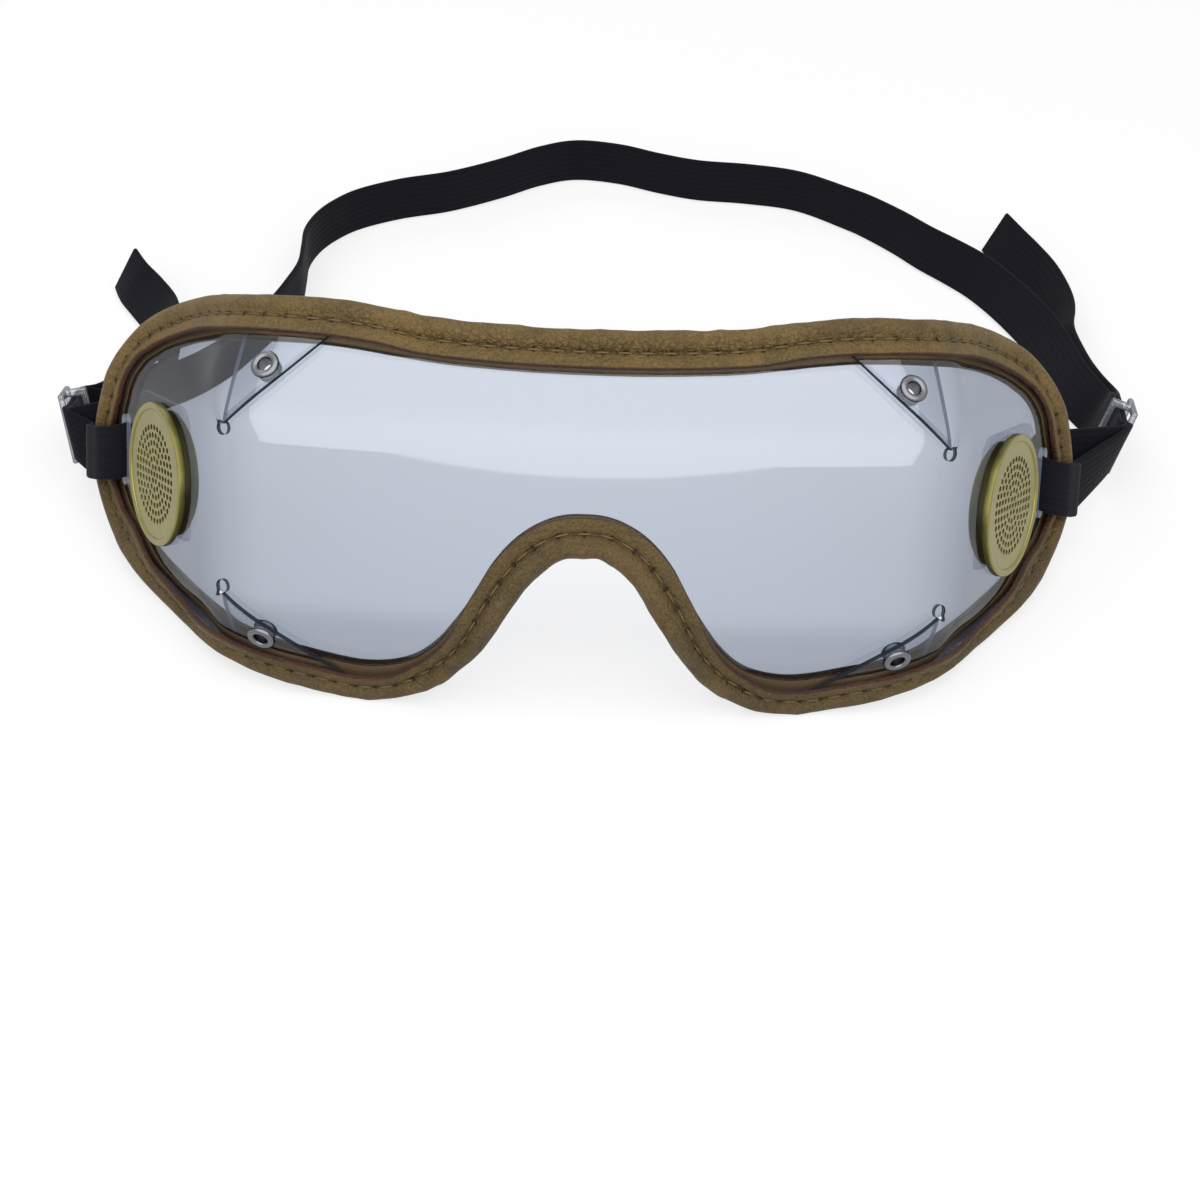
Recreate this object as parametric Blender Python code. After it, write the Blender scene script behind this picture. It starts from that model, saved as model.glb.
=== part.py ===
"""Racing goggles with a folded sheet lens, a padded leather binding and an elastic strap.

The lens is one clear sheet. Four slits let its corners overlap, so the flat sheet
closes into a shallow box, and an eyelet pins each overlap. A foam core inside a
leather binding runs all round the rim. A perforated brass vent sits in each side
panel, clamped from behind over a clear stiffening patch. The strap is one length
of elastic that turns through a slot behind each vent and comes back through a
three-bar adjuster. The goggles lean back on a table and the strap stands behind.

Metres, +Z up, +X to the right as seen from the front, the wearer's face towards +Y.
"""
import math

import bmesh
import bpy
from mathutils import Matrix, Vector
from mathutils.geometry import delaunay_2d_cdt

# Fits and cuts
CLEARANCE = 0.00025
OVERRUN = 0.001
WELD = 0.000001

# Perforated vents
VENT_BARREL_RADIUS = 0.0090
VENT_FLANGE = 0.0032
VENT_RADIUS = VENT_BARREL_RADIUS + VENT_FLANGE
VENT_RAISE = 0.0010
VENT_MARGIN = 0.0039
VENT_SHEET = 0.0005
VENT_RIM_HEIGHT = 0.00095
VENT_RIM_WIDTH = 0.0013
VENT_RIM_ROUND = 0.0004
VENT_DISC_LIFT = 0.00065
VENT_BARREL_WALL = 0.0005
PERFORATION_RADIUS = 0.00045
PERFORATION_PITCH = 0.00158
PERFORATION_RINGS = 5
VENT_FACETS = 32
PERFORATION_FACETS = 5

# Ring that the barrel is rolled over, and the clear patch under it
RING_FLANGE = 0.0016
RING_RADIUS = VENT_BARREL_RADIUS + RING_FLANGE
RING_THICKNESS = 0.0005
PATCH_THICKNESS = 0.0008
PATCH_FRONT_MARGIN = 0.0009
PATCH_REAR_MARGIN = 0.0048
PATCH_TOP_MARGIN = 0.0035
PATCH_FOOT_MARGIN = 0.0008
PATCH_FRONT = VENT_BARREL_RADIUS + PATCH_FRONT_MARGIN
PATCH_REAR = VENT_BARREL_RADIUS + PATCH_REAR_MARGIN
PATCH_TOP = VENT_BARREL_RADIUS + PATCH_TOP_MARGIN
PATCH_FOOT = VENT_BARREL_RADIUS + PATCH_FOOT_MARGIN
PATCH_TOP_CORNER = 0.0040
PATCH_FOOT_CORNER = 0.0010
PATCH_REAR_CORNER = 0.0042

# Lens sheet
LENS_THICKNESS = 0.0008
FACE_RADIUS = 0.260
FACE_HALF_WIDTH = 0.060
FOLD_RADIUS = 0.018
SIDE_HEADING = math.radians(60.8)
FLANGE_START = 0.0128
FLANGE_BLEND = 0.005
FLANGE_LEAN = math.radians(34)
BROW_HEIGHT = 0.031
LOBE_DEPTH = 0.0292

# Strap slots
SLOT_MARGIN = 0.0038
SLOT_WIDTH = 0.0024
SLOT_LENGTH = 0.0125
SLOT_RAISE = 0.0020
SLOT_TO_RIM = 0.0081

# Corner overlaps
RELIEF_RADIUS = 0.00115
UPPER_SLIT_ANGLE = math.radians(141)
LOWER_SLIT_ANGLE = math.radians(146)
TUCK_ANGLE = math.radians(95)
FLAP_EASE = math.radians(8)
FLAP_FADE = math.radians(60)
UPPER_EYELET_SHARE = 0.530
UPPER_EYELET_ANGLE = math.radians(128.5)
LOWER_EYELET_SHARE = 0.545
LOWER_EYELET_ANGLE = math.radians(133.5)

# Eyelets
EYELET_FLANGE_RADIUS = 0.0024
EYELET_BARREL_RADIUS = 0.0015
EYELET_WALL = 0.00035
EYELET_CROWN = 0.0005
EYELET_EASE = 0.0006
EYELET_FACETS = 16

# Foam core and leather binding
BINDING_EASE = 0.00045
FOAM_THICKNESS = 0.0010
FOAM_EDGE = 0.0005
LEATHER_THICKNESS = 0.00095
STITCH_INSET = 0.0021
STITCH_GROOVE = 0.00015
BINDING_LIP = 0.0047
NARROW_LIP_SHARE = 0.70
NARROW_MIDDLE = 0.045
NARROW_REACH = 0.034
SLOT_NARROW_START = 0.015
SLOT_NARROW_BLEND = 0.007
RIDGE_LIFT_SHARE = 0.45
SEAM_RAISE = 0.0050
SEAM_GAP = 0.0003
RIM_PITCH = 0.012
RIM_TURN = math.radians(17)
SPARE_SHARE = 0.42
LENS_FINE_SHARE = 0.65

# Elastic strap
STRAP_WIDTH = 0.0096
STRAP_THICKNESS = 0.0009
STRAP_PITCH = 0.0045
LAYER_GAP = 0.0002
LOOP_WIDTH_SHARE = 0.9569
LOOP_NEAR_SHARE = 0.3741
LOOP_REACH = 0.167

# Adjusters
ADJUSTER_LENGTH = 0.0128
ADJUSTER_SPAN = 0.0086
ADJUSTER_BAR = 0.0015
ADJUSTER_DEPTH = 0.0011
ADJUSTER_EDGE = 0.0003
ADJUSTER_TRAVEL = 0.004
RUN_SPARE = 0.0008
LEFT_FRONT_SLIP = -0.0018
LEFT_REAR_SLIP = 0.0022
RIGHT_FRONT_SLIP = -0.0023
RIGHT_REAR_SLIP = 0.0026

# Stance on the table
LEAN_BACK = math.radians(25)
REST_FLAT = 0.0004

# Half of the lens outline, from the middle of the brow to the middle of the nose:
# distance along the sheet as a share of the half span, height as a share of the
# brow height above the middle and of the lobe depth below it
RIM_SHARES = (
    (0.0, 0.920), (0.200, 0.938), (0.397, 1.0), (0.572, 0.957), (0.739, 0.856),
    (0.866, 0.700), (0.942, 0.461), (0.989, 0.190), (1.0, 0.0), (0.980, -0.200),
    (0.914, -0.404), (0.812, -0.582), (0.700, -0.730), (0.554, -0.815),
    (0.425, -0.935), (0.323, -1.0), (0.240, -0.935), (0.180, -0.753),
    (0.129, -0.466), (0.081, -0.212), (0.039, -0.099), (0.0, -0.075),
)

# Free strap from the left adjuster round to the right one: across and back as shares
# of the loop's half width and reach, and the lean of the ribbon in degrees. The width
# comes from the adjusters, which also stand at the near share of the reach
HEAD_ROUTE_SHARES = (
    (-0.990, 0.409, 8), (-0.948, 0.428, 0), (-0.893, 0.448, 0), (-0.844, 0.468, 0),
    (-0.803, 0.490, 0), (-0.758, 0.522, 0), (-0.718, 0.562, 0), (-0.680, 0.605, 0),
    (-0.653, 0.649, 0), (-0.636, 0.686, 0), (-0.635, 0.724, 0), (-0.635, 0.760, 0),
    (-0.618, 0.794, 0), (-0.587, 0.824, 0), (-0.533, 0.855, 0), (-0.440, 0.884, 0),
    (-0.328, 0.907, 0), (-0.214, 0.943, 0), (-0.123, 0.978, 0), (-0.037, 0.997, 0),
    (0.066, 0.991, 0), (0.160, 0.972, 0), (0.253, 0.958, 0), (0.370, 0.953, 0),
    (0.487, 0.940, 0), (0.599, 0.902, 0), (0.650, 0.881, 0), (0.713, 0.848, 0),
    (0.767, 0.815, 0), (0.819, 0.788, 0), (0.870, 0.759, 0), (0.911, 0.727, 0),
    (0.951, 0.688, 0), (0.987, 0.645, 0), (1.006, 0.611, 0), (1.021, 0.573, 0),
    (1.034, 0.540, 0), (1.053, 0.509, 0), (1.076, 0.478, 0),
)
LEFT_TAIL_SHARES = (
    (-1.005, 0.418, 8), (-0.958, 0.437, 0), (-0.905, 0.456, 4), (-0.868, 0.478, 10),
    (-0.872, 0.508, 18), (-0.893, 0.554, 30), (-0.926, 0.612, 46), (-0.964, 0.648, 46),
    (-1.001, 0.676, 38), (-1.025, 0.702, 30),
)
RIGHT_TAIL_SHARES = (
    (1.091, 0.481, 0), (1.067, 0.512, 0), (1.049, 0.543, 0), (1.037, 0.575, 0),
    (1.030, 0.609, 0), (1.034, 0.634, 0), (1.047, 0.661, 0), (1.053, 0.687, 0),
    (1.049, 0.720, 0), (1.033, 0.758, 0), (1.007, 0.794, 0), (0.978, 0.828, 0),
    (0.948, 0.862, 0),
)

# How much of its slip up or down the slot each leg of a loop has, from the lens's rim
# to the slot, and where the layers are held straight along an adjuster's run
SLIP_SHARES = (1.0, 0.96, 0.90, 0.78, 0.60, 0.30)
RUN_SHARES = (-1.0, -0.35, 0.35, 1.0)

# Where each adjuster sits from its slot: along the side panel, out from it and up it;
# then how far its run turns outward and falls, and how far its bars tilt out and back
LEFT_ADJUSTER_REACH = 0.0229
LEFT_ADJUSTER_OUT = 0.0004
LEFT_ADJUSTER_RISE = 0.0006
LEFT_ADJUSTER_TURNS = (math.radians(3), math.radians(23), math.radians(14), math.radians(29))
RIGHT_ADJUSTER_REACH = 0.0327
RIGHT_ADJUSTER_OUT = 0.0015
RIGHT_ADJUSTER_RISE = 0.0044
RIGHT_ADJUSTER_TURNS = (math.radians(5), math.radians(15), math.radians(17), math.radians(4))


# Shape of the sheet

SIDE_AXIS = Vector((math.cos(SIDE_HEADING), math.sin(SIDE_HEADING)))
SIDE_NORMAL = Vector((math.sin(SIDE_HEADING), -math.cos(SIDE_HEADING)))
ARC_CENTRE = Vector((0.0, FACE_RADIUS))
CORNER_ANGLE = FACE_HALF_WIDTH / FACE_RADIUS
CORNER = Vector((FACE_RADIUS * math.sin(CORNER_ANGLE),
                 FACE_RADIUS - FACE_RADIUS * math.cos(CORNER_ANGLE)))
PROBE = WELD * 100


def set_back(z):
    """How far the sheet at height z leans in behind its upright middle."""
    rise = max(abs(z) - FLANGE_START, 0.0)
    if rise < FLANGE_BLEND:
        return math.tan(FLANGE_LEAN) * rise * rise / (2 * FLANGE_BLEND)
    return math.tan(FLANGE_LEAN) * (rise - FLANGE_BLEND / 2)


def fold_at(z):
    """Centre of the fold at height z, where it starts along the front, and its length."""
    inset = set_back(z)
    foot = CORNER - (inset + FOLD_RADIUS) * SIDE_NORMAL
    spoke = foot - ARC_CENTRE
    along = spoke.dot(SIDE_AXIS)
    span = FACE_RADIUS - inset - FOLD_RADIUS
    slide = -along - math.sqrt(along * along - spoke.dot(spoke) + span * span)
    centre = foot + slide * SIDE_AXIS
    turn = math.atan2(centre.x, FACE_RADIUS - centre.y)
    return centre, (FACE_RADIUS - inset) * turn, FOLD_RADIUS * (SIDE_HEADING - turn), turn


def on_sheet(u, z):
    """Point of the sheet's middle surface at distance u along it and height z."""
    reach = abs(u)
    inset = set_back(z)
    centre, front, roll, turn = fold_at(z)
    if reach < front:
        angle = reach / (FACE_RADIUS - inset)
        flat = ARC_CENTRE + (FACE_RADIUS - inset) * Vector((math.sin(angle), -math.cos(angle)))
    elif reach < front + roll:
        angle = turn + (reach - front) / FOLD_RADIUS
        flat = centre + FOLD_RADIUS * Vector((math.sin(angle), -math.cos(angle)))
    else:
        flat = centre + FOLD_RADIUS * SIDE_NORMAL + (reach - front - roll) * SIDE_AXIS
    return Vector((math.copysign(flat.x, u) if flat.x else flat.x, flat.y, z))


def sheet_tangents(u, z):
    """Rates of change of the sheet along u and along z."""
    along = (on_sheet(u + PROBE, z) - on_sheet(u - PROBE, z)) / (2 * PROBE)
    rising = (on_sheet(u, z + PROBE) - on_sheet(u, z - PROBE)) / (2 * PROBE)
    return along, rising


def off_sheet(u, z, out):
    """Point a distance out in front of the sheet's middle surface."""
    along, rising = sheet_tangents(u, z)
    return on_sheet(u, z) + out * along.cross(rising).normalized()


def sheet_normal(place):
    """Outward direction of the sheet at a place on it."""
    along, rising = sheet_tangents(place.x, place.y)
    return along.cross(rising).normalized()


FOLD_START = fold_at(0.0)[1]
FOLD_LENGTH = fold_at(0.0)[2]
FOLD_MIDDLE = FOLD_START + FOLD_LENGTH / 2
FOLD_END = FOLD_START + FOLD_LENGTH
VENT_PLACE = FOLD_END + VENT_MARGIN + VENT_RADIUS
SLOT_PLACE = VENT_PLACE + VENT_RADIUS + SLOT_MARGIN + SLOT_WIDTH / 2
HALF_SPAN = SLOT_PLACE + SLOT_TO_RIM
RELIEF_HEIGHT = FLANGE_START + CLEARANCE
FLAP_LIFT = LENS_THICKNESS + CLEARANCE


def flap_lift(u, z):
    """How far the outer flap rides over the tucked one near a corner overlap."""
    across = abs(u) - FOLD_MIDDLE
    above = abs(z) - RELIEF_HEIGHT
    angle = math.atan2(above, across)
    if angle < -math.pi / 2:
        angle += 2 * math.pi
    fade = (angle - (TUCK_ANGLE - FLAP_EASE - FLAP_FADE)) / FLAP_FADE
    fade = min(max(fade, 0.0), 1.0)
    near = min(math.hypot(across, above) / RELIEF_RADIUS, 1.0)
    return FLAP_LIFT * near * fade * fade * (3 - 2 * fade)


def slit_angle(half):
    """Direction of an outer flap's edge, upper or lower by the sign given."""
    return UPPER_SLIT_ANGLE if half > 0 else LOWER_SLIT_ANGLE


def in_flap(u, z, margin):
    """True where the outer flap, grown by the margin, covers the sheet."""
    across = abs(u) - FOLD_MIDDLE
    above = abs(z) - RELIEF_HEIGHT
    if above <= 0.0:
        return False
    angle = slit_angle(z)
    return across * math.sin(angle) - above * math.cos(angle) > -margin


# Curves

def catmull(points, closed, steps):
    """Points of a smooth curve through the given vectors, steps to each stretch."""
    count = len(points)
    spans = count if closed else count - 1
    curve = []
    for i in range(spans):
        if closed:
            a, b, c, d = (points[(i + k) % count] for k in (-1, 0, 1, 2))
        else:
            a, b, c, d = (points[min(max(i + k, 0), count - 1)] for k in (-1, 0, 1, 2))
        for k in range(steps):
            t = k / steps
            curve.append(0.5 * (2 * b + (c - a) * t + (2 * a - 5 * b + 4 * c - d) * t * t
                                + (3 * b - a - 3 * c + d) * t * t * t))
    if not closed:
        curve.append(points[-1].copy())
    return curve


def rim_outline():
    """The closed edge of the lens in sheet coordinates, fine enough to measure on."""
    half = []
    for across, up in RIM_SHARES:
        half.append(Vector((across * HALF_SPAN, up * (BROW_HEIGHT if up > 0 else LOBE_DEPTH))))
    mirrored = [Vector((-p.x, p.y)) for p in half[1:-1]]
    return catmull(half + mirrored[::-1], True, 16)


def stations(path, closed, fine_share=1.0):
    """Thins a fine path to points that lie closer together where it turns."""
    count = len(path)
    last = count if closed else count - 1
    costs = [0.0]
    for i in range(last):
        here, there = path[i], path[(i + 1) % count]
        step = there - here
        turn = sheet_normal(here).angle(sheet_normal(there), 0.0)
        if closed or 0 < i:
            before = here - path[i - 1]
            turn += abs(before.angle_signed(step, 0.0))
        costs.append(costs[-1] + (step.length / RIM_PITCH + turn / RIM_TURN) / fine_share)
    total = max(int(round(costs[-1])), 3)
    picked = []
    place = 0
    for k in range(total if closed else total + 1):
        want = costs[-1] * k / total
        while place < last - 1 and costs[place + 1] < want:
            place += 1
        share = (want - costs[place]) / max(costs[place + 1] - costs[place], WELD)
        here, there = path[place % count], path[(place + 1) % count]
        picked.append(here + (there - here) * min(max(share, 0.0), 1.0))
    return picked


RIM_PATH = rim_outline()


def crossing(angle, side, half):
    """Index on the rim where a line from a relief hole at the angle reaches it."""
    best = None
    for i, point in enumerate(RIM_PATH):
        across = abs(point.x) - FOLD_MIDDLE
        above = abs(point.y) - RELIEF_HEIGHT
        if point.x * side <= 0 or point.y * half <= 0 or above <= 0:
            continue
        error = abs(math.atan2(above, across) - angle)
        if best is None or error < best[0]:
            best = (error, i)
    return best[1]


def rim_between(start, end):
    """Fine rim points from one index forward to another."""
    count = len(RIM_PATH)
    span = (end - start) % count
    return [RIM_PATH[(start + k) % count] for k in range(span + 1)]


def seam_index(side):
    """Index on the rim of the butt seam between the two bindings."""
    best = None
    for i, point in enumerate(RIM_PATH):
        if point.x * side < VENT_PLACE:
            continue
        error = abs(point.y - SEAM_RAISE)
        if best is None or error < best[0]:
            best = (error, i)
    return best[1]


def ring_points(centre, radius, facets, start=0.0, sweep=2 * math.pi):
    """Points round a circle in sheet coordinates; an open sweep keeps both ends."""
    whole = abs(sweep) >= 2 * math.pi - WELD
    count = facets if whole else facets + 1
    return [centre + radius * Vector((math.cos(start + sweep * i / facets),
                                      math.sin(start + sweep * i / facets)))
            for i in range(count)]


def slot_points(side):
    """Outline of a strap slot with round ends."""
    radius = SLOT_WIDTH / 2
    straight = SLOT_LENGTH / 2 - radius
    middle = Vector((side * SLOT_PLACE, SLOT_RAISE))
    top = ring_points(middle + Vector((0.0, straight)), radius, 4, 0.0, math.pi)
    low = ring_points(middle - Vector((0.0, straight)), radius, 4, math.pi, math.pi)
    return top + low


# Objects

def remove_everything():
    for thing in list(bpy.data.objects):
        bpy.data.objects.remove(thing, do_unlink=True)


def finish(name, colour, roughness, metallic, alpha=1.0):
    """A plain material for one piece."""
    material = bpy.data.materials.new(name)
    material.use_nodes = True
    shader = material.node_tree.nodes["Principled BSDF"]
    shader.inputs["Base Color"].default_value = (*colour, 1.0)
    shader.inputs["Roughness"].default_value = roughness
    shader.inputs["Metallic"].default_value = metallic
    shader.inputs["Alpha"].default_value = alpha
    return material


def add_object(name, mesh, parent, material=None, smooth=False):
    thing = bpy.data.objects.new(name, mesh)
    bpy.context.scene.collection.objects.link(thing)
    thing.parent = parent
    if material is not None:
        mesh.materials.clear()
        mesh.materials.append(material)
    if smooth:
        mesh.shade_smooth()
        mesh.set_sharp_from_angle(angle=math.radians(35))
    return thing


def add_empty(name, parent=None):
    empty = bpy.data.objects.new(name, None)
    bpy.context.scene.collection.objects.link(empty)
    empty.parent = parent
    return empty


def mesh_from(name, vertices, faces):
    """A mesh with its faces turned to point outwards."""
    mesh = bpy.data.meshes.new(name)
    mesh.from_pydata([tuple(v) for v in vertices], [], faces)
    shape = bmesh.new()
    shape.from_mesh(mesh)
    bmesh.ops.recalc_face_normals(shape, faces=shape.faces)
    shape.to_mesh(mesh)
    shape.free()
    return mesh


def turned(name, profile, facets):
    """A closed body of revolution from a closed profile of radius and height."""
    shape = bmesh.new()
    points = [shape.verts.new((radius, 0.0, height)) for radius, height in profile]
    edges = [shape.edges.new((points[i - 1], points[i])) for i in range(len(points))]
    bmesh.ops.spin(shape, geom=points + edges, axis=(0, 0, 1), cent=(0, 0, 0),
                   angle=2 * math.pi, steps=facets, use_merge=True)
    bmesh.ops.remove_doubles(shape, verts=shape.verts, dist=WELD)
    bmesh.ops.recalc_face_normals(shape, faces=shape.faces)
    mesh = bpy.data.meshes.new(name)
    shape.to_mesh(mesh)
    shape.free()
    return mesh


def cut(thing, cutter, operation="DIFFERENCE"):
    """A Boolean with a cutter that isn't part of the model."""
    modifier = thing.modifiers.new(cutter.name, "BOOLEAN")
    modifier.operation = operation
    modifier.object = cutter
    cutter.hide_render = True
    cutter.display_type = "WIRE"


def panel_frame(u, z):
    """Matrix at a place on the sheet: X along it, Y up it and Z out of it."""
    along, rising = sheet_tangents(u, z)
    out = along.cross(rising).normalized()
    across = along.normalized()
    up = out.cross(across)
    matrix = Matrix((across, up, out)).transposed().to_4x4()
    matrix.translation = on_sheet(u, z)
    return matrix


# Lens

def inside(point, loop):
    """True if a point is inside a closed loop."""
    hit = False
    for i in range(len(loop)):
        a, b = loop[i - 1], loop[i]
        if (a.y > point.y) != (b.y > point.y):
            if point.x < (b.x - a.x) * (point.y - a.y) / (b.y - a.y) + a.x:
                hit = not hit
    return hit


def distance_to(point, loop):
    """Least distance from a point to a closed loop."""
    least = None
    for i in range(len(loop)):
        a, b = loop[i - 1], loop[i]
        run = b - a
        share = (point - a).dot(run) / max(run.dot(run), WELD * WELD)
        gap = (a + run * min(max(share, 0.0), 1.0) - point).length
        least = gap if least is None else min(least, gap)
    return least


def grid_points(outline, holes):
    """Inner points of a piece of sheet, closer together where it curves, and the bend lines."""
    inner_rows = [0.0, FLANGE_START / 2, FLANGE_START, FLANGE_START + FLANGE_BLEND / 2,
                  FLANGE_START + FLANGE_BLEND, (FLANGE_START + FLANGE_BLEND + BROW_HEIGHT) / 2]
    rows = sorted({r for row in inner_rows for r in (row, -row)})
    front_steps = 5
    fold_steps = 5
    side_steps = 6
    columns = [FOLD_START * i / front_steps for i in range(front_steps + 1)]
    columns += [FOLD_START + FOLD_LENGTH * i / fold_steps for i in range(1, fold_steps + 1)]
    columns += [FOLD_END + (HALF_SPAN - FOLD_END) * i / side_steps
                for i in range(1, side_steps)]
    columns = sorted({c for column in columns for c in (column, -column)})
    spare = FLANGE_BLEND * SPARE_SHARE
    points = []
    bends = []
    for y in rows:
        previous = False
        for x in columns:
            point = Vector((x, y))
            kept = inside(point, outline) and distance_to(point, outline) > spare
            if any(inside(point, h) or distance_to(point, h) < spare for h in holes):
                kept = False
            if kept:
                points.append(point)
                if previous and abs(y) in (FLANGE_START, FLANGE_START + FLANGE_BLEND):
                    bends.append((len(points) - 2, len(points) - 1))
            previous = kept
    return points, bends


def triangulated(outline, holes):
    """Triangles of a piece of sheet, as points and index triples."""
    points = []
    edges = []
    for loop in [outline] + holes:
        first = len(points)
        points += loop
        edges += [(first + i, first + (i + 1) % len(loop)) for i in range(len(loop))]
    inner, bends = grid_points(outline, holes)
    edges += [(a + len(points), b + len(points)) for a, b in bends]
    points += inner
    placed, _, faces, _, _, _ = delaunay_2d_cdt(points, edges, [], 0, WELD)
    kept = []
    for face in faces:
        middle = sum((placed[i] for i in face), Vector((0.0, 0.0))) / len(face)
        if inside(middle, outline) and not any(inside(middle, h) for h in holes):
            a, b, c = (placed[i] for i in face)
            winding = (b - a).cross(c - a)
            kept.append(tuple(face) if winding > 0 else tuple(reversed(face)))
    return placed, kept


def relief_centre(side, half):
    return Vector((side * FOLD_MIDDLE, half * RELIEF_HEIGHT))


def eyelet_place(side, half):
    """Middle of an eyelet, a share of the way from the relief hole to the rim."""
    share = UPPER_EYELET_SHARE if half > 0 else LOWER_EYELET_SHARE
    angle = UPPER_EYELET_ANGLE if half > 0 else LOWER_EYELET_ANGLE
    here = relief_centre(side, half)
    span = (RIM_PATH[crossing(angle, side, half)] - here).length
    return here + share * span * Vector((side * math.cos(angle), half * math.sin(angle)))


def mirrored_point(point, side, half):
    return Vector((point.x * side, point.y * half))


def relief_edge(side, half, angle, away):
    """Relief hole's edge from the seam line to a flap's edge, by the side named away."""
    start = math.radians(-90)
    sweep = (angle - start) if away > 0 else (angle - 2 * math.pi - start)
    centre = Vector((FOLD_MIDDLE, RELIEF_HEIGHT))
    arc = ring_points(centre, RELIEF_RADIUS, 7, start, sweep)
    return [mirrored_point(p, side, half) for p in arc]


def front_piece():
    """Outline and holes of the front panel with its four tucked flaps."""
    outline = []
    corners = ((1, 1), (1, -1), (-1, -1), (-1, 1))
    for number, (side, half) in enumerate(corners):
        arc = relief_edge(side, half, TUCK_ANGLE, -1)
        leaving = number % 2 == 0
        outline += arc[::-1] if leaving else arc
        if not leaving:
            after = corners[(number + 1) % 4]
            start = crossing(TUCK_ANGLE, side, half)
            end = crossing(TUCK_ANGLE, *after)
            outline += rim_run(start, end)
    holes = [ring_points(eyelet_place(side, half), EYELET_BARREL_RADIUS + CLEARANCE, 10)
             for side, half in corners]
    return outline, holes


def rim_run(start, end):
    return stations(rim_between(start, end), False, LENS_FINE_SHARE)


def side_piece(side):
    """Outline and holes of a side panel with its two outer flaps."""
    low = crossing(slit_angle(-1), side, -1)
    high = crossing(slit_angle(1), side, 1)
    lower_edge = relief_edge(side, -1, slit_angle(-1), 1)
    upper_edge = relief_edge(side, 1, slit_angle(1), 1)
    if side > 0:
        outline = rim_run(high, low) + lower_edge[::-1] + upper_edge
    else:
        outline = rim_run(low, high) + upper_edge[::-1] + lower_edge
    vent = ring_points(Vector((side * VENT_PLACE, VENT_RAISE)),
                       VENT_BARREL_RADIUS + CLEARANCE, 24)
    holes = [vent, slot_points(side)]
    holes += [ring_points(eyelet_place(side, half), EYELET_BARREL_RADIUS + CLEARANCE, 10)
              for half in (1, -1)]
    return outline, holes


def lens_mesh():
    """Two skins and an edge wall over the front and side pieces, one closed body."""
    places = []
    faces = []
    shared = {}
    for piece in (0, 1, -1):
        outline, holes = front_piece() if piece == 0 else side_piece(piece)
        points, triangles = triangulated(outline, holes)
        index = []
        for point in points:
            on_seam = (abs(abs(point.x) - FOLD_MIDDLE) < WELD
                       and abs(point.y) < RELIEF_HEIGHT)
            key = (round(point.x / WELD), round(point.y / WELD))
            if on_seam and key in shared:
                index.append(shared[key])
                continue
            lift = 0.0 if piece == 0 else flap_lift(point.x, point.y)
            places.append((point.x, point.y, lift))
            index.append(len(places) - 1)
            if on_seam:
                shared[key] = index[-1]
        faces += [tuple(index[i] for i in triangle) for triangle in triangles]
    half = LENS_THICKNESS / 2
    count = len(places)
    vertices = [off_sheet(u, z, lift + half) for u, z, lift in places]
    vertices += [off_sheet(u, z, lift - half) for u, z, lift in places]
    walls = {}
    for face in faces:
        for i in range(3):
            walls[(face[i - 1], face[i])] = True
    solid = list(faces)
    solid += [tuple(i + count for i in reversed(face)) for face in faces]
    for a, b in walls:
        if (b, a) not in walls:
            solid.append((a, a + count, b + count, b))
    return mesh_from("lens", vertices, solid)


# Binding and foam

def rim_direction(place):
    """Direction of the rim in sheet coordinates next to a place on it."""
    count = len(RIM_PATH)
    nearest = min(range(count), key=lambda i: (RIM_PATH[i] - place).length)
    return RIM_PATH[(nearest + 2) % count] - RIM_PATH[nearest - 2]


def rim_section_frame(path, i):
    """Place on the rim and the step in sheet coordinates that leads inwards."""
    here = path[i]
    along, rising = sheet_tangents(here.x, here.y)
    ahead = rim_direction(here)
    run = ahead.x * along + ahead.y * rising
    out = along.cross(rising).normalized()
    inward = run.cross(out).normalized()
    uu, uz, zz = along.dot(along), along.dot(rising), rising.dot(rising)
    pu, pz = inward.dot(along), inward.dot(rising)
    scale = uu * zz - uz * uz
    step = Vector(((pu * zz - pz * uz) / scale, (pz * uu - pu * uz) / scale))
    return here, step


def cover_lift(path, i):
    """How far the front of the binding rises to pass over the corner overlaps."""
    here, step = rim_section_frame(path, i)
    lift = 0.0
    for inset in (0.0, STITCH_INSET, BINDING_LIP):
        place = here + step * inset
        if in_flap(place.x, place.y, BINDING_LIP / 2):
            lift = max(lift, flap_lift(place.x, place.y))
    return lift


def lip_share(place):
    """Share of the lip's reach at a place on the rim.

    It narrows beside the slots and under the lower corners.
    """
    away = abs(abs(place.x) - NARROW_MIDDLE) / NARROW_REACH
    corner = 1.0 - away ** 4 if place.y < 0 and away < 1.0 else 0.0
    slot = (abs(place.x) - HALF_SPAN + SLOT_NARROW_START) / SLOT_NARROW_BLEND
    slot = min(max(slot, 0.0), 1.0)
    return 1.0 - (1.0 - NARROW_LIP_SHARE) * max(corner, slot)


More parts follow.
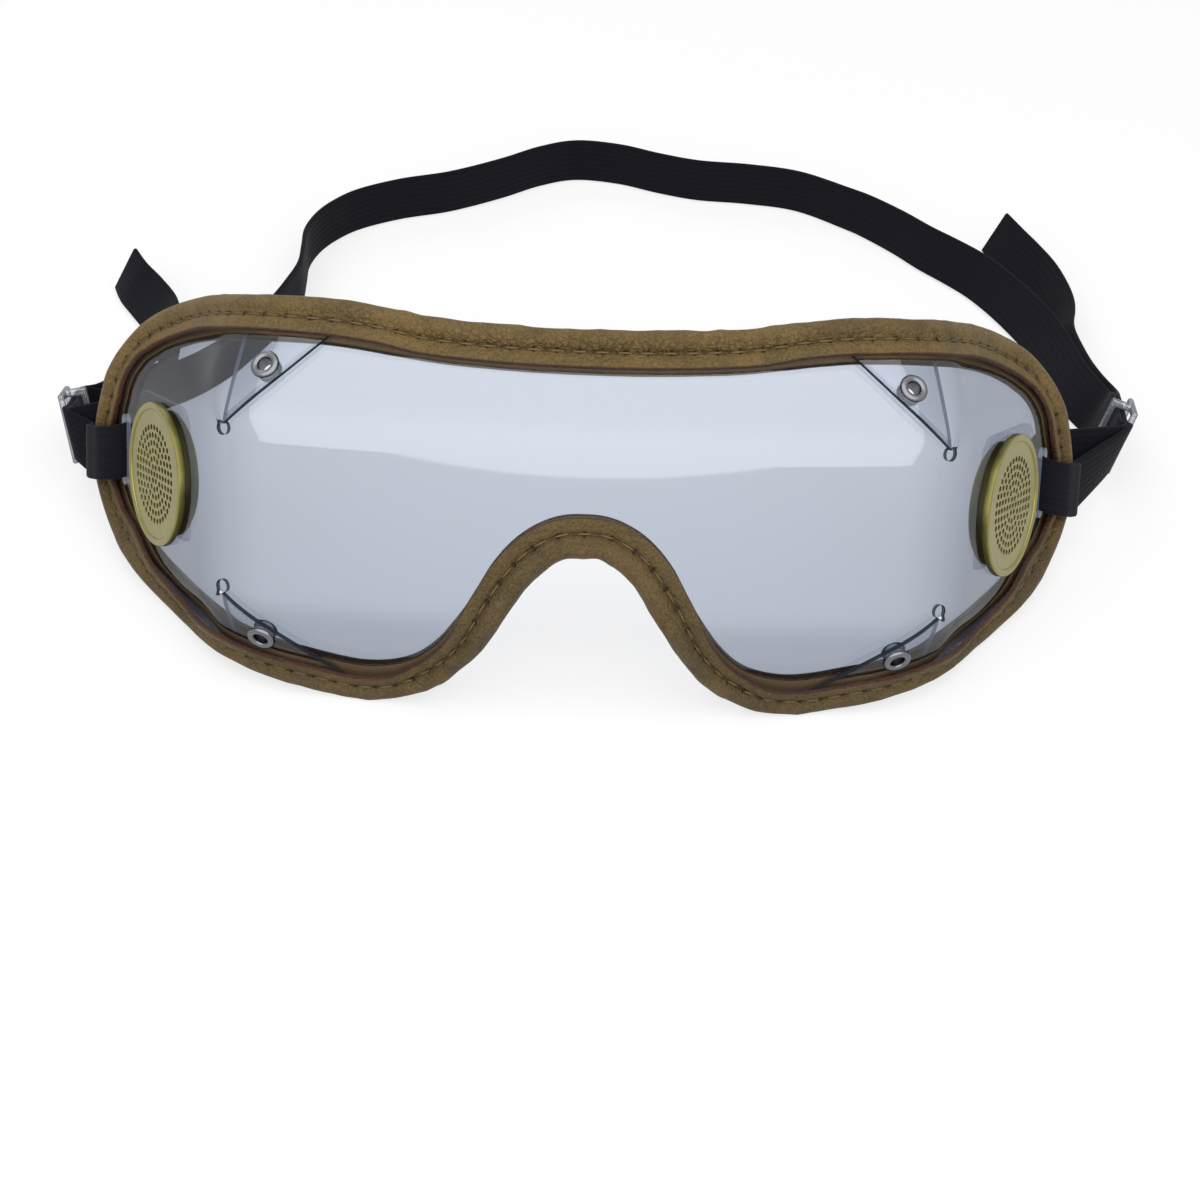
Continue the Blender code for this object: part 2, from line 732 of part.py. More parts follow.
def swept(name, section, path):
    """A closed body that carries a section of inset and height along part of the rim."""
    lifts = [cover_lift(path, i) for i in range(len(path))]
    eased = []
    for i in range(len(path)):
        near = [lifts[k] for k in range(len(path))
                if (path[k] - path[i]).length < BINDING_LIP]
        eased.append(max(near))
    vertices = []
    faces = []
    size = len(section)
    for i in range(len(path)):
        here, step = rim_section_frame(path, i)
        share = lip_share(here)
        for inset, height in section:
            place = here + step * inset * (share if inset > 0 else 1.0)
            rise = eased[i] if height > 0 else 0.0
            if height > FOAM_INNER and inset < STITCH_INSET:
                rise *= RIDGE_LIFT_SHARE
            vertices.append(off_sheet(place.x, place.y, height + rise))
    for i in range(len(path) - 1):
        for k in range(size):
            a, b = i * size + k, i * size + (k + 1) % size
            faces.append((a, b, b + size, a + size))
    faces.append(tuple(range(size)))
    faces.append(tuple(range((len(path) - 1) * size, len(path) * size)))
    return mesh_from(name, vertices, faces)


FOAM_INNER = LENS_THICKNESS / 2 + BINDING_EASE
FOAM_OUTER = FOAM_INNER + FOAM_THICKNESS
LEATHER_INNER = FOAM_OUTER + CLEARANCE
LEATHER_OUTER = LEATHER_INNER + LEATHER_THICKNESS
LIP_OUTER = FOAM_INNER + LEATHER_THICKNESS
FOAM_REACH = BINDING_EASE + FOAM_EDGE
BEAD_INNER = FOAM_REACH + CLEARANCE
BEAD_REACH = BEAD_INNER + LEATHER_THICKNESS
SHOULDER_SHARE = 0.80
CREST_SHARE = 0.12


def leather_section():
    """Outline of the folded leather: inset from the lens edge, height off the sheet."""
    crest = STITCH_INSET * CREST_SHARE
    outer = [
        (BINDING_LIP, FOAM_INNER), (BINDING_LIP, LIP_OUTER),
        (STITCH_INSET, LIP_OUTER - STITCH_GROOVE),
        (STITCH_INSET * 0.65, LEATHER_OUTER * SHOULDER_SHARE),
        (crest, LEATHER_OUTER), (-BEAD_REACH * 0.66, LEATHER_OUTER * SHOULDER_SHARE),
        (-BEAD_REACH, 0.0),
    ]
    inner = [(STITCH_INSET * 0.95, FOAM_INNER), (crest, LEATHER_INNER),
             (-BEAD_INNER * 0.62, LEATHER_INNER * SHOULDER_SHARE), (-BEAD_INNER, 0.0)]
    back = [(inset, -height) for inset, height in outer[:-1]]
    back_inner = [(inset, -height) for inset, height in inner[:-1]]
    return outer + back[::-1] + back_inner + inner[::-1]


def foam_section():
    """Outline of the U-shaped foam core."""
    crest = STITCH_INSET * CREST_SHARE
    leg = STITCH_INSET * 0.60
    outer = [(leg, FOAM_INNER), (crest, FOAM_OUTER),
             (-FOAM_REACH * 0.65, FOAM_OUTER * 0.72), (-FOAM_REACH, 0.0)]
    back = [(inset, -height) for inset, height in outer[:-1]]
    return outer + back[::-1] + [(-BINDING_EASE, -FOAM_INNER), (-BINDING_EASE, FOAM_INNER)]


def binding_paths():
    """Rim points of the upper and the lower binding, open at the butt seams."""
    right, left = seam_index(1), seam_index(-1)
    paths = []
    for start, end in ((left, right), (right, left)):
        fine = rim_between(start, end)
        first = (fine[1] - fine[0]).normalized() * SEAM_GAP / 2
        final = (fine[-1] - fine[-2]).normalized() * SEAM_GAP / 2
        fine[0] = fine[0] + first
        fine[-1] = fine[-1] - final
        paths.append(stations(fine, False))
    return paths


# Vents, rings, patches and eyelets

def vent_mesh():
    """Dished brass cap: rolled rim, sunk disc and the barrel that goes through the lens."""
    seat = LENS_THICKNESS / 2 + CLEARANCE
    disc_top = seat + VENT_DISC_LIFT
    disc_low = disc_top - VENT_SHEET
    crest = seat + VENT_RIM_HEIGHT
    rim_in = VENT_RADIUS - VENT_RIM_WIDTH
    bore = VENT_BARREL_RADIUS - VENT_BARREL_WALL
    tail = -(seat + PATCH_THICKNESS + RING_THICKNESS + 2 * CLEARANCE)
    profile = [
        (0.0, disc_top), (rim_in, disc_top), (rim_in + VENT_RIM_ROUND, crest),
        (VENT_RADIUS - VENT_RIM_ROUND, crest), (VENT_RADIUS, crest - VENT_RIM_ROUND),
        (VENT_RADIUS, seat), (VENT_BARREL_RADIUS, seat), (VENT_BARREL_RADIUS, tail),
        (VENT_BARREL_RADIUS + VENT_BARREL_WALL, tail),
        (VENT_BARREL_RADIUS + VENT_BARREL_WALL, tail - VENT_BARREL_WALL),
        (bore, tail - VENT_BARREL_WALL), (bore, disc_low), (0.0, disc_low),
    ]
    mesh = turned("vent_cap", profile, VENT_FACETS)
    shape = bmesh.new()
    shape.from_mesh(mesh)
    for level in (disc_top, disc_low):
        disc = [f for f in shape.faces if all(abs(v.co.z - level) < WELD for v in f.verts)]
        bmesh.ops.dissolve_faces(shape, faces=disc)
    shape.to_mesh(mesh)
    shape.free()
    return mesh


def punch_mesh():
    """The rings of holes of a vent, as prisms that pass through its disc."""
    shape = bmesh.new()
    depth = VENT_SHEET + 2 * OVERRUN
    middle = LENS_THICKNESS / 2 + CLEARANCE + VENT_DISC_LIFT - VENT_SHEET / 2
    for ring in range(PERFORATION_RINGS + 1):
        count = max(6 * ring, 1)
        for place in range(count):
            angle = 2 * math.pi * place / count
            spot = Matrix.Rotation(angle, 4, "Z") @ Matrix.Translation(
                (ring * PERFORATION_PITCH, 0.0, middle))
            bmesh.ops.create_cone(shape, cap_ends=True, segments=PERFORATION_FACETS,
                                  radius1=PERFORATION_RADIUS, radius2=PERFORATION_RADIUS,
                                  depth=depth, matrix=spot)
    mesh = bpy.data.meshes.new("vent_punch")
    shape.to_mesh(mesh)
    shape.free()
    return mesh


def ring_mesh():
    """Flat ring between the patch and the rolled end of the barrel."""
    top = -(LENS_THICKNESS / 2 + PATCH_THICKNESS + 2 * CLEARANCE)
    low = top - RING_THICKNESS
    bore = VENT_BARREL_RADIUS + CLEARANCE
    return turned("vent_ring", [(bore, top), (RING_RADIUS, top), (RING_RADIUS, low),
                                (bore, low)], VENT_FACETS)


def patch_mesh(side):
    """Clear patch behind a vent, round at the top, with a hole for the barrel."""
    front, rear = (-PATCH_FRONT, PATCH_REAR) if side > 0 else (-PATCH_REAR, PATCH_FRONT)
    outline = []
    corners = ((rear, PATCH_TOP, 0), (front, PATCH_TOP, 1),
               (front, -PATCH_FOOT, 2), (rear, -PATCH_FOOT, 3))
    for x, y, number in corners:
        radius = PATCH_TOP_CORNER
        if y < 0:
            radius = PATCH_REAR_CORNER if abs(x) == PATCH_REAR else PATCH_FOOT_CORNER
        centre = Vector((x - math.copysign(radius, x), y - math.copysign(radius, y)))
        outline += ring_points(centre, radius, 3, number * math.pi / 2, math.pi / 2)
    hole = ring_points(Vector((0.0, 0.0)), VENT_BARREL_RADIUS + CLEARANCE, 24)
    points = outline + hole
    edges = [(i, (i + 1) % len(outline)) for i in range(len(outline))]
    edges += [(len(outline) + i, len(outline) + (i + 1) % len(hole)) for i in range(len(hole))]
    placed, _, faces, _, _, _ = delaunay_2d_cdt(points, edges, [], 0, WELD)
    kept = []
    for face in faces:
        middle = sum((placed[i] for i in face), Vector((0.0, 0.0))) / len(face)
        if not inside(middle, hole):
            kept.append(face)
    top = -(LENS_THICKNESS / 2 + CLEARANCE)
    shape = bmesh.new()
    corners = [shape.verts.new((p.x, p.y, top)) for p in placed]
    flat = [shape.faces.new([corners[i] for i in face]) for face in kept]
    pulled = bmesh.ops.extrude_face_region(shape, geom=flat)
    moved = [g for g in pulled["geom"] if isinstance(g, bmesh.types.BMVert)]
    bmesh.ops.translate(shape, verts=moved, vec=(0.0, 0.0, -PATCH_THICKNESS))
    bmesh.ops.recalc_face_normals(shape, faces=shape.faces)
    mesh = bpy.data.meshes.new("vent_patch")
    shape.to_mesh(mesh)
    shape.free()
    return mesh


def eyelet_mesh():
    """Round flanged eyelet whose barrel is rolled back behind both flaps."""
    seat = LENS_THICKNESS / 2 + FLAP_LIFT + CLEARANCE
    bore = EYELET_BARREL_RADIUS - EYELET_WALL
    back = -(LENS_THICKNESS / 2 + EYELET_EASE)
    profile = [
        (EYELET_FLANGE_RADIUS, seat), (EYELET_FLANGE_RADIUS * 0.88, seat + EYELET_CROWN * 0.8),
        (EYELET_BARREL_RADIUS * 1.1, seat + EYELET_CROWN), (bore, seat + EYELET_CROWN * 0.4),
        (bore, back - EYELET_WALL), (EYELET_FLANGE_RADIUS * 0.85, back - EYELET_WALL),
        (EYELET_FLANGE_RADIUS * 0.85, back), (EYELET_BARREL_RADIUS, back),
        (EYELET_BARREL_RADIUS, seat),
    ]
    return turned("eyelet", profile, EYELET_FACETS)


# Strap and adjusters

LEAN = Matrix.Rotation(-LEAN_BACK, 4, "X")


def slot_frame(side, height):
    """Slot's middle and the panel's rearward, outward and upward directions."""
    middle = on_sheet(side * SLOT_PLACE, SLOT_RAISE)
    rear = Vector((side * SIDE_AXIS.x, SIDE_AXIS.y, 0.0))
    out = Vector((side * SIDE_NORMAL.x, SIDE_NORMAL.y, 0.0))
    stand = Matrix.Translation((0.0, 0.0, height)) @ LEAN
    turn = LEAN.to_3x3()
    return stand @ middle, turn @ rear, turn @ out, turn @ Vector((0.0, 0.0, 1.0))


def adjuster_frame(side, height):
    """Adjuster's middle and the directions of its run, its outside and its bars."""
    reach = RIGHT_ADJUSTER_REACH if side > 0 else LEFT_ADJUSTER_REACH
    away = RIGHT_ADJUSTER_OUT if side > 0 else LEFT_ADJUSTER_OUT
    rise = RIGHT_ADJUSTER_RISE if side > 0 else LEFT_ADJUSTER_RISE
    turn, fall, tilt, back = RIGHT_ADJUSTER_TURNS if side > 0 else LEFT_ADJUSTER_TURNS
    middle, rear, out, up = slot_frame(side, height)
    place = middle + reach * rear + away * out + rise * up
    run = Vector((side * math.tan(turn), 1.0, -math.tan(fall))).normalized()
    bars = Vector((side * math.tan(tilt), math.tan(back), 1.0)).normalized()
    outside = run.cross(bars).normalized() * side
    bars = outside.cross(run).normalized() * side
    return place, run, outside, bars


def strap_loop(side, height):
    """Ribbon places and width directions from the tail's run, through the slot, to the head's."""
    place, run, outside, bars = adjuster_frame(side, height)
    middle, rear, out, up = slot_frame(side, height)
    layer = (STRAP_THICKNESS + LAYER_GAP) / 2
    far = ADJUSTER_SPAN / 2 + ADJUSTER_TRAVEL / 2 + RUN_SPARE
    spots = [far * share for share in RUN_SHARES]
    tail = [(place + run * s + outside * layer, bars) for s in reversed(spots)]
    head = [(place + run * s - outside * layer, bars) for s in spots]
    hug = LEATHER_OUTER + CLEARANCE + STRAP_THICKNESS / 2
    lip = LIP_OUTER + CLEARANCE + STRAP_THICKNESS / 2
    bead = SLOT_TO_RIM + BEAD_REACH
    crest = SLOT_TO_RIM - STITCH_INSET * CREST_SHARE
    shape = ((bead + LEATHER_OUTER * 0.30, hug * 0.62), (bead - BEAD_REACH * 0.55, hug),
             (crest, hug * 1.07), (crest - STITCH_INSET, hug),
             (SLOT_TO_RIM - BINDING_LIP, lip * 1.42), (SLOT_WIDTH * 0.28, lip * 0.75))
    front_slip = RIGHT_FRONT_SLIP if side > 0 else LEFT_FRONT_SLIP
    rear_slip = RIGHT_REAR_SLIP if side > 0 else LEFT_REAR_SLIP
    outer = []
    inner = []
    for (a, m), share in zip(shape, SLIP_SHARES):
        outer.append((middle + rear * a + out * m + up * (share * front_slip), up))
        inner.append((middle + rear * a - out * m + up * (share * rear_slip), up))
    return tail + outer + [(middle, up)] + inner[::-1] + head


def standing(shares, height):
    """Places and width directions of ribbon whose lower edge lies on the table."""
    left, right = (adjuster_frame(side, height)[0] for side in (-1, 1))
    half_width = (right.x - left.x) / 2 * LOOP_WIDTH_SHARE
    near = (right.y + left.y) / 2
    flat = [Vector((across * half_width, near + (back - LOOP_NEAR_SHARE) * LOOP_REACH))
            for across, back, _ in shares]
    ribbon = []
    for i, (_, _, degrees) in enumerate(shares):
        before, after = flat[max(i - 1, 0)], flat[min(i + 1, len(flat) - 1)]
        heading = (after - before).normalized()
        lean = math.radians(degrees)
        width = Vector((heading.y * math.sin(lean), -heading.x * math.sin(lean), math.cos(lean)))
        rise = STRAP_WIDTH / 2 * math.cos(lean) + STRAP_THICKNESS / 2 * abs(math.sin(lean))
        rise += CLEARANCE
        ribbon.append((Vector((flat[i].x, flat[i].y, rise)), width))
    return ribbon


def strap_route(height):
    """Ribbon places and width directions from the left tail's end to the right tail's."""
    left = strap_loop(-1, height)
    right = strap_loop(1, height)[::-1]
    left_tail = standing(LEFT_TAIL_SHARES, height)[::-1]
    head = standing(HEAD_ROUTE_SHARES, height)
    return left_tail + left + head + right + standing(RIGHT_TAIL_SHARES, height)


def ribbon_mesh(name, route, width, thickness, pitch):
    """A flat band along a route, turned to each width direction."""
    places = []
    for i in range(len(route) - 1):
        window = [route[min(max(i + k, 0), len(route) - 1)] for k in (-1, 0, 1, 2)]
        length = (window[2][0] - window[1][0]).length
        steps = max(int(round(length / pitch)), 1)
        middles = catmull([w[0] for w in window], False, steps)
        widths = catmull([w[1] for w in window], False, steps)
        places += list(zip(middles[steps:2 * steps], widths[steps:2 * steps]))
    places.append(route[-1])
    vertices = []
    faces = []
    for i, (middle, across) in enumerate(places):
        before, after = places[max(i - 1, 0)][0], places[min(i + 1, len(places) - 1)][0]
        along = (after - before).normalized()
        face = along.cross(across).normalized()
        edge = across.normalized()
        for a, b in ((1, 1), (1, -1), (-1, -1), (-1, 1)):
            vertices.append(middle + edge * (a * width / 2) + face * (b * thickness / 2))
    for i in range(len(places) - 1):
        for k in range(4):
            a, b = i * 4 + k, i * 4 + (k + 1) % 4
            faces.append((a, b, b + 4, a + 4))
    faces.append((0, 1, 2, 3))
    last = (len(places) - 1) * 4
    faces.append((last, last + 1, last + 2, last + 3))
    return mesh_from(name, vertices, faces)


def block(shape, low, high):
    """Adds a box between two corners."""
    size = Vector(high) - Vector(low)
    middle = (Vector(high) + Vector(low)) / 2
    matrix = Matrix.Translation(middle) @ Matrix.Diagonal((*size, 1.0))
    bmesh.ops.create_cube(shape, size=1.0, matrix=matrix)


def box_object(name, low, high, parent):
    shape = bmesh.new()
    block(shape, low, high)
    mesh = bpy.data.meshes.new(name)
    shape.to_mesh(mesh)
    shape.free()
    return add_object(name, mesh, parent)


def adjuster_mesh():
    """Three-bar slide: X along the strap, Y along the bars, Z to the outside."""
    half_span = ADJUSTER_SPAN / 2
    half_length = ADJUSTER_LENGTH / 2
    opening = STRAP_WIDTH / 2 + CLEARANCE
    low = STRAP_THICKNESS + LAYER_GAP / 2 + CLEARANCE
    high = low + ADJUSTER_DEPTH
    window = half_span - ADJUSTER_BAR
    shape = bmesh.new()
    columns = [-half_span, -window, -ADJUSTER_BAR / 2, ADJUSTER_BAR / 2, window, half_span]
    rows = [-half_length, -opening, opening, half_length]
    levels = [-high, -low, low, high]
    grid = {}

    def corner(i, j, k):
        if (i, j, k) not in grid:
            grid[(i, j, k)] = shape.verts.new((columns[i], rows[j], levels[k]))
        return grid[(i, j, k)]

    def filled(i, j, k):
        if not (0 <= i < 5 and 0 <= j < 3 and 0 <= k < 3):
            return False
        rail = j in (0, 2)
        if k == 2:
            return rail or i in (0, 4)
        if k == 1:
            return rail and i == 2
        return i == 2

    sides = (((1, 0, 0), ((1, 0, 0), (1, 1, 0), (1, 1, 1), (1, 0, 1))),
             ((-1, 0, 0), ((0, 0, 0), (0, 0, 1), (0, 1, 1), (0, 1, 0))),
             ((0, 1, 0), ((0, 1, 0), (0, 1, 1), (1, 1, 1), (1, 1, 0))),
             ((0, -1, 0), ((0, 0, 0), (1, 0, 0), (1, 0, 1), (0, 0, 1))),
             ((0, 0, 1), ((0, 0, 1), (1, 0, 1), (1, 1, 1), (0, 1, 1))),
             ((0, 0, -1), ((0, 0, 0), (0, 1, 0), (1, 1, 0), (1, 0, 0))))
    for i in range(5):
        for j in range(3):
            for k in range(3):
                if not filled(i, j, k):
                    continue
                for (di, dj, dk), loop in sides:
                    if not filled(i + di, j + dj, k + dk):
                        shape.faces.new([corner(i + a, j + b, k + c) for a, b, c in loop])
    bmesh.ops.recalc_face_normals(shape, faces=shape.faces)
    flat = [e for e in shape.edges if e.calc_face_angle(0.0) < math.radians(1)]
    bmesh.ops.dissolve_edges(shape, edges=flat, use_verts=True)
    mesh = bpy.data.meshes.new("adjuster")
    shape.to_mesh(mesh)
    shape.free()
    return mesh


def world_corner_box(things):
    """Lowest and highest corners of the evaluated pieces."""
    depsgraph = bpy.context.evaluated_depsgraph_get()
    low = Vector((math.inf,) * 3)
    high = Vector((-math.inf,) * 3)
    for thing in things:
        shaped = thing.evaluated_get(depsgraph)
        for vertex in shaped.data.vertices:
            place = shaped.matrix_world @ vertex.co
            low = Vector(map(min, low, place))
            high = Vector(map(max, high, place))
    return low, high


# Assembly

def build():
    remove_everything()
    clear = finish("clear_polycarbonate", (0.72, 0.74, 0.80), 0.05, 0.0, 0.35)
    leather = finish("tan_leather", (0.195, 0.117, 0.040), 0.62, 0.0)
    foam = finish("grey_foam", (0.10, 0.10, 0.10), 0.9, 0.0)
    brass = finish("lacquered_brass", (0.45, 0.40, 0.14), 0.35, 1.0)
    nickel = finish("nickel_plate", (0.60, 0.58, 0.54), 0.25, 1.0)
    elastic = finish("black_elastic", (0.008, 0.008, 0.011), 0.85, 0.0)
    moulded = finish("clear_nylon", (0.70, 0.72, 0.76), 0.2, 0.0, 0.6)

    table = add_empty("table_middle")
    lean = add_empty("goggles_lean", table)
    lean.rotation_euler = (-LEAN_BACK, 0.0, 0.0)

    upper, lower = binding_paths()
    bindings = []
    for name, path in (("upper", upper), ("lower", lower)):
        bindings.append(add_object("binding_" + name, swept("binding_" + name,
                        leather_section(), path), lean, leather, True))
        add_object("foam_" + name, swept("foam_" + name, foam_section(), path), lean, foam)
    lens = add_object("lens", lens_mesh(), lean, clear)

    lowest = min((LEAN @ vertex.co).z for thing in bindings for vertex in thing.data.vertices)
    height = -lowest - REST_FLAT
    lean.location = (0.0, 0.0, height)

    reach = FACE_RADIUS
    floor = box_object("table_cut", (-reach, -reach, -reach), (reach, reach, 0.0), table)
    for thing in bindings:
        cut(thing, floor)

    vent = vent_mesh()
    vent.materials.append(brass)
    vent.shade_smooth()
    vent.set_sharp_from_angle(angle=math.radians(35))
    punch = punch_mesh()
    ring = ring_mesh()
    eyelet = eyelet_mesh()
    slide = adjuster_mesh()
    for side, word in ((-1, "left"), (1, "right")):
        frame = panel_frame(side * VENT_PLACE, VENT_RAISE)
        cap = add_object("vent_cap_" + word, vent, lean)
        holes = add_object("vent_punch_" + word, punch, lean)
        washer = add_object("vent_ring_" + word, ring, lean, brass)
        backing = add_object("vent_patch_" + word, patch_mesh(side), lean, clear)
        for thing in (cap, holes, washer, backing):
            thing.matrix_local = frame
        cut(cap, holes)
        for half, level in ((1, "upper"), (-1, "lower")):
            spot = eyelet_place(side, half)
            rivet = add_object("eyelet_%s_%s" % (level, word), eyelet, lean, nickel, True)
            rivet.matrix_local = panel_frame(spot.x, spot.y)
        place, run, outside, bars = adjuster_frame(side, height)
        adjuster = add_object("adjuster_" + word, slide, table, moulded)
        matrix = Matrix((run, outside.cross(run), outside)).transposed().to_4x4()
        matrix.translation = place
        adjuster.matrix_local = matrix
        rounding = adjuster.modifiers.new("edges", "BEVEL")
        rounding.width = ADJUSTER_EDGE
        rounding.segments = 1
        rounding.limit_method = "ANGLE"

    band = ribbon_mesh("elastic_strap", strap_route(height), STRAP_WIDTH, STRAP_THICKNESS,
                       STRAP_PITCH)
    add_object("elastic_strap", band, table, elastic, True)

    bpy.context.view_layer.update()
    pieces = [t for t in bpy.data.objects if t.type == "MESH" and not t.hide_render]
    low, high = world_corner_box(pieces)
    table.location = (-(low.x + high.x) / 2, -(low.y + high.y) / 2, -low.z)
    bpy.context.view_layer.update()
    return pieces


build()
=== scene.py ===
"""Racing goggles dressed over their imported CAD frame.

One clear sheet folded into a shallow box, tan leather rolls sewn round its rim, brass
vents, nickel eyelets, an elastic head strap and two clear three-bar slides.

Metres, +Z up, +X to the right as seen from the front, the wearer's face towards +Y.
"""
import math
from functools import cached_property
from itertools import product

import bmesh
import bpy
import numpy as np
from mathutils import Matrix, Vector, kdtree, noise
from mathutils.geometry import delaunay_2d_cdt


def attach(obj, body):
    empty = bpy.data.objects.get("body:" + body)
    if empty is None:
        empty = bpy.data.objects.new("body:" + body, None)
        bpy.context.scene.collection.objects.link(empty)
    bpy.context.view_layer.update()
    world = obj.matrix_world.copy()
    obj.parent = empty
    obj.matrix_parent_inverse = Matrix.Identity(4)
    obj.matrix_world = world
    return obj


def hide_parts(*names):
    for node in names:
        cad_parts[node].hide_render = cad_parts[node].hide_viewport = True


bl_info = {
    "name": "Racing goggles",
    "version": (1, 0, 0),
    "blender": (4, 5, 0),
    "location": "View3D > Sidebar > Goggles",
    "description": "Builds the sheet, leather, metal and elastic of a pair of racing goggles",
    "category": "Add Mesh",
}

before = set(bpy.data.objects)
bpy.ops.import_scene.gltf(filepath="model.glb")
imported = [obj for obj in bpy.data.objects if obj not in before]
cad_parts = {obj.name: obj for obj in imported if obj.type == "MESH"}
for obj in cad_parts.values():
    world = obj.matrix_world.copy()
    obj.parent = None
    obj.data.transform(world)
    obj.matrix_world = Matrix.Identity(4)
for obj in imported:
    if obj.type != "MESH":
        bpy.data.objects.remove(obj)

SIDES = ((-1, "left"), (1, "right"))
WHITE = (1.0, 1.0, 1.0, 1.0)

# Fits
CLEARANCE = 0.00025
WELD = 0.000001

# Perforated vents
VENT_BARREL_RADIUS = 0.0090
VENT_FLANGE = 0.0032
VENT_RADIUS = VENT_BARREL_RADIUS + VENT_FLANGE
VENT_RAISE = 0.0010
VENT_MARGIN = 0.0039
VENT_SHEET = 0.0005
VENT_RIM_HEIGHT = 0.00095
VENT_RIM_WIDTH = 0.0013
VENT_DISC_LIFT = 0.00065
VENT_BARREL_WALL = 0.0005
RING_THICKNESS = 0.0005
PATCH_THICKNESS = 0.0008

# Lens sheet
LENS_THICKNESS = 0.0008
FACE_RADIUS = 0.260
FACE_HALF_WIDTH = 0.060
FOLD_RADIUS = 0.018
SIDE_HEADING = math.radians(60.8)
FLANGE_START = 0.0128
FLANGE_BLEND = 0.005
FLANGE_LEAN = math.radians(34)
BROW_HEIGHT = 0.031
LOBE_DEPTH = 0.0292

# Strap slots
SLOT_MARGIN = 0.0038
SLOT_WIDTH = 0.0024
SLOT_LENGTH = 0.0125
SLOT_RAISE = 0.0020
SLOT_TO_RIM = 0.0081

# Corner overlaps; in each pair, the first is for a lower corner and the other for an upper
RELIEF_RADIUS = 0.00115
RELIEF_FACETS = 16
SLIT_ANGLES = math.radians(146), math.radians(141)
TUCK_ANGLE = math.radians(95)
FLAP_EASE = math.radians(8)
FLAP_FADE = math.radians(60)
EYELET_SHARES = 0.545, 0.530
EYELET_ANGLES = math.radians(133.5), math.radians(128.5)

# Eyelets
EYELET_FLANGE_RADIUS = 0.0024
EYELET_BARREL_RADIUS = 0.0015
EYELET_WALL = 0.00035
EYELET_CROWN = 0.0005

# Foam core and leather binding
BINDING_EASE = 0.00045
FOAM_THICKNESS = 0.0010
FOAM_EDGE = 0.0005
LEATHER_THICKNESS = 0.00095
STITCH_INSET = 0.0021
STITCH_GROOVE = 0.00015
BINDING_LIP = 0.0047
NARROW_LIP_SHARE = 0.70
NARROW_MIDDLE = 0.045
NARROW_REACH = 0.034
SLOT_NARROW_START = 0.015
SLOT_NARROW_BLEND = 0.007
RIDGE_LIFT_SHARE = 0.45
SEAM_RAISE = 0.0050
SEAM_GAP = 0.0003

# Elastic strap and adjusters
STRAP_WIDTH = 0.0096
STRAP_THICKNESS = 0.0009
LAYER_GAP = 0.0002
LOOP_WIDTH_SHARE = 0.9569
LOOP_NEAR_SHARE = 0.3741
LOOP_REACH = 0.167
ADJUSTER_LENGTH = 0.0128
ADJUSTER_SPAN = 0.0086
ADJUSTER_BAR = 0.0015
ADJUSTER_DEPTH = 0.0011
ADJUSTER_TRAVEL = 0.004
RUN_SPARE = 0.0025

# Stance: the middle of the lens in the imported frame, and how far it leans back
LENS_CENTRE = Vector((-0.003213, -0.079132, 0.033206))
LEAN_BACK = math.radians(25)
LEAN = Matrix.Rotation(-LEAN_BACK, 4, "X")
STAND = Matrix.Translation(LENS_CENTRE) @ LEAN

# Fineness of the dressed pieces
SHEET_PITCH = 0.0014
ROLL_PITCH = 0.00045
STRAP_PITCH = 0.0011
SLIDE_ROUNDING = 0.00042
VENT_FACETS = 96
HOLE_FACETS = 14
EYELET_FACETS = 48
BORE_FACETS = 72
EYELET_BORE_FACETS = 28
SLOT_END_FACETS = 10
RIM_STEPS = 16

# How many of the fine rim's points make one step of the cement line, how near the sheet's
# grid comes to an edge, of the pitch, and how near a wall of the sheet lies to a relief
# hole or a slit to be taken as its own, of the hole's radius
CEMENT_STEP = 4
BORDER_SHARE = 0.45
HOLE_SHARE = 1.02
SLIT_SHARE = 0.3

# Thin web over each relief hole, and how far metal clears the sheet that it bears on
WEB_THICKNESS = 0.0001
WEB_FACETS = 24
BEARING = 0.00003

# How far under an outer flap the sheet stays tinted, so its edge hides the change
FILM_INSET = 0.0013

# How far in from the rim, of the lip's reach, the leather is cemented to the sheet
CEMENT_SHARE = 0.97

# Half of the lens outline, as shares of the half span and of the brow or the lobe
RIM_SHARES = (
    (0.0, 0.920), (0.200, 0.938), (0.397, 1.0), (0.572, 0.957), (0.739, 0.856),
    (0.866, 0.700), (0.942, 0.461), (0.989, 0.190), (1.0, 0.0), (0.980, -0.200),
    (0.914, -0.404), (0.812, -0.582), (0.700, -0.730), (0.554, -0.815),
    (0.425, -0.935), (0.323, -1.0), (0.240, -0.935), (0.180, -0.753),
    (0.129, -0.466), (0.081, -0.212), (0.039, -0.099), (0.0, -0.075),
)

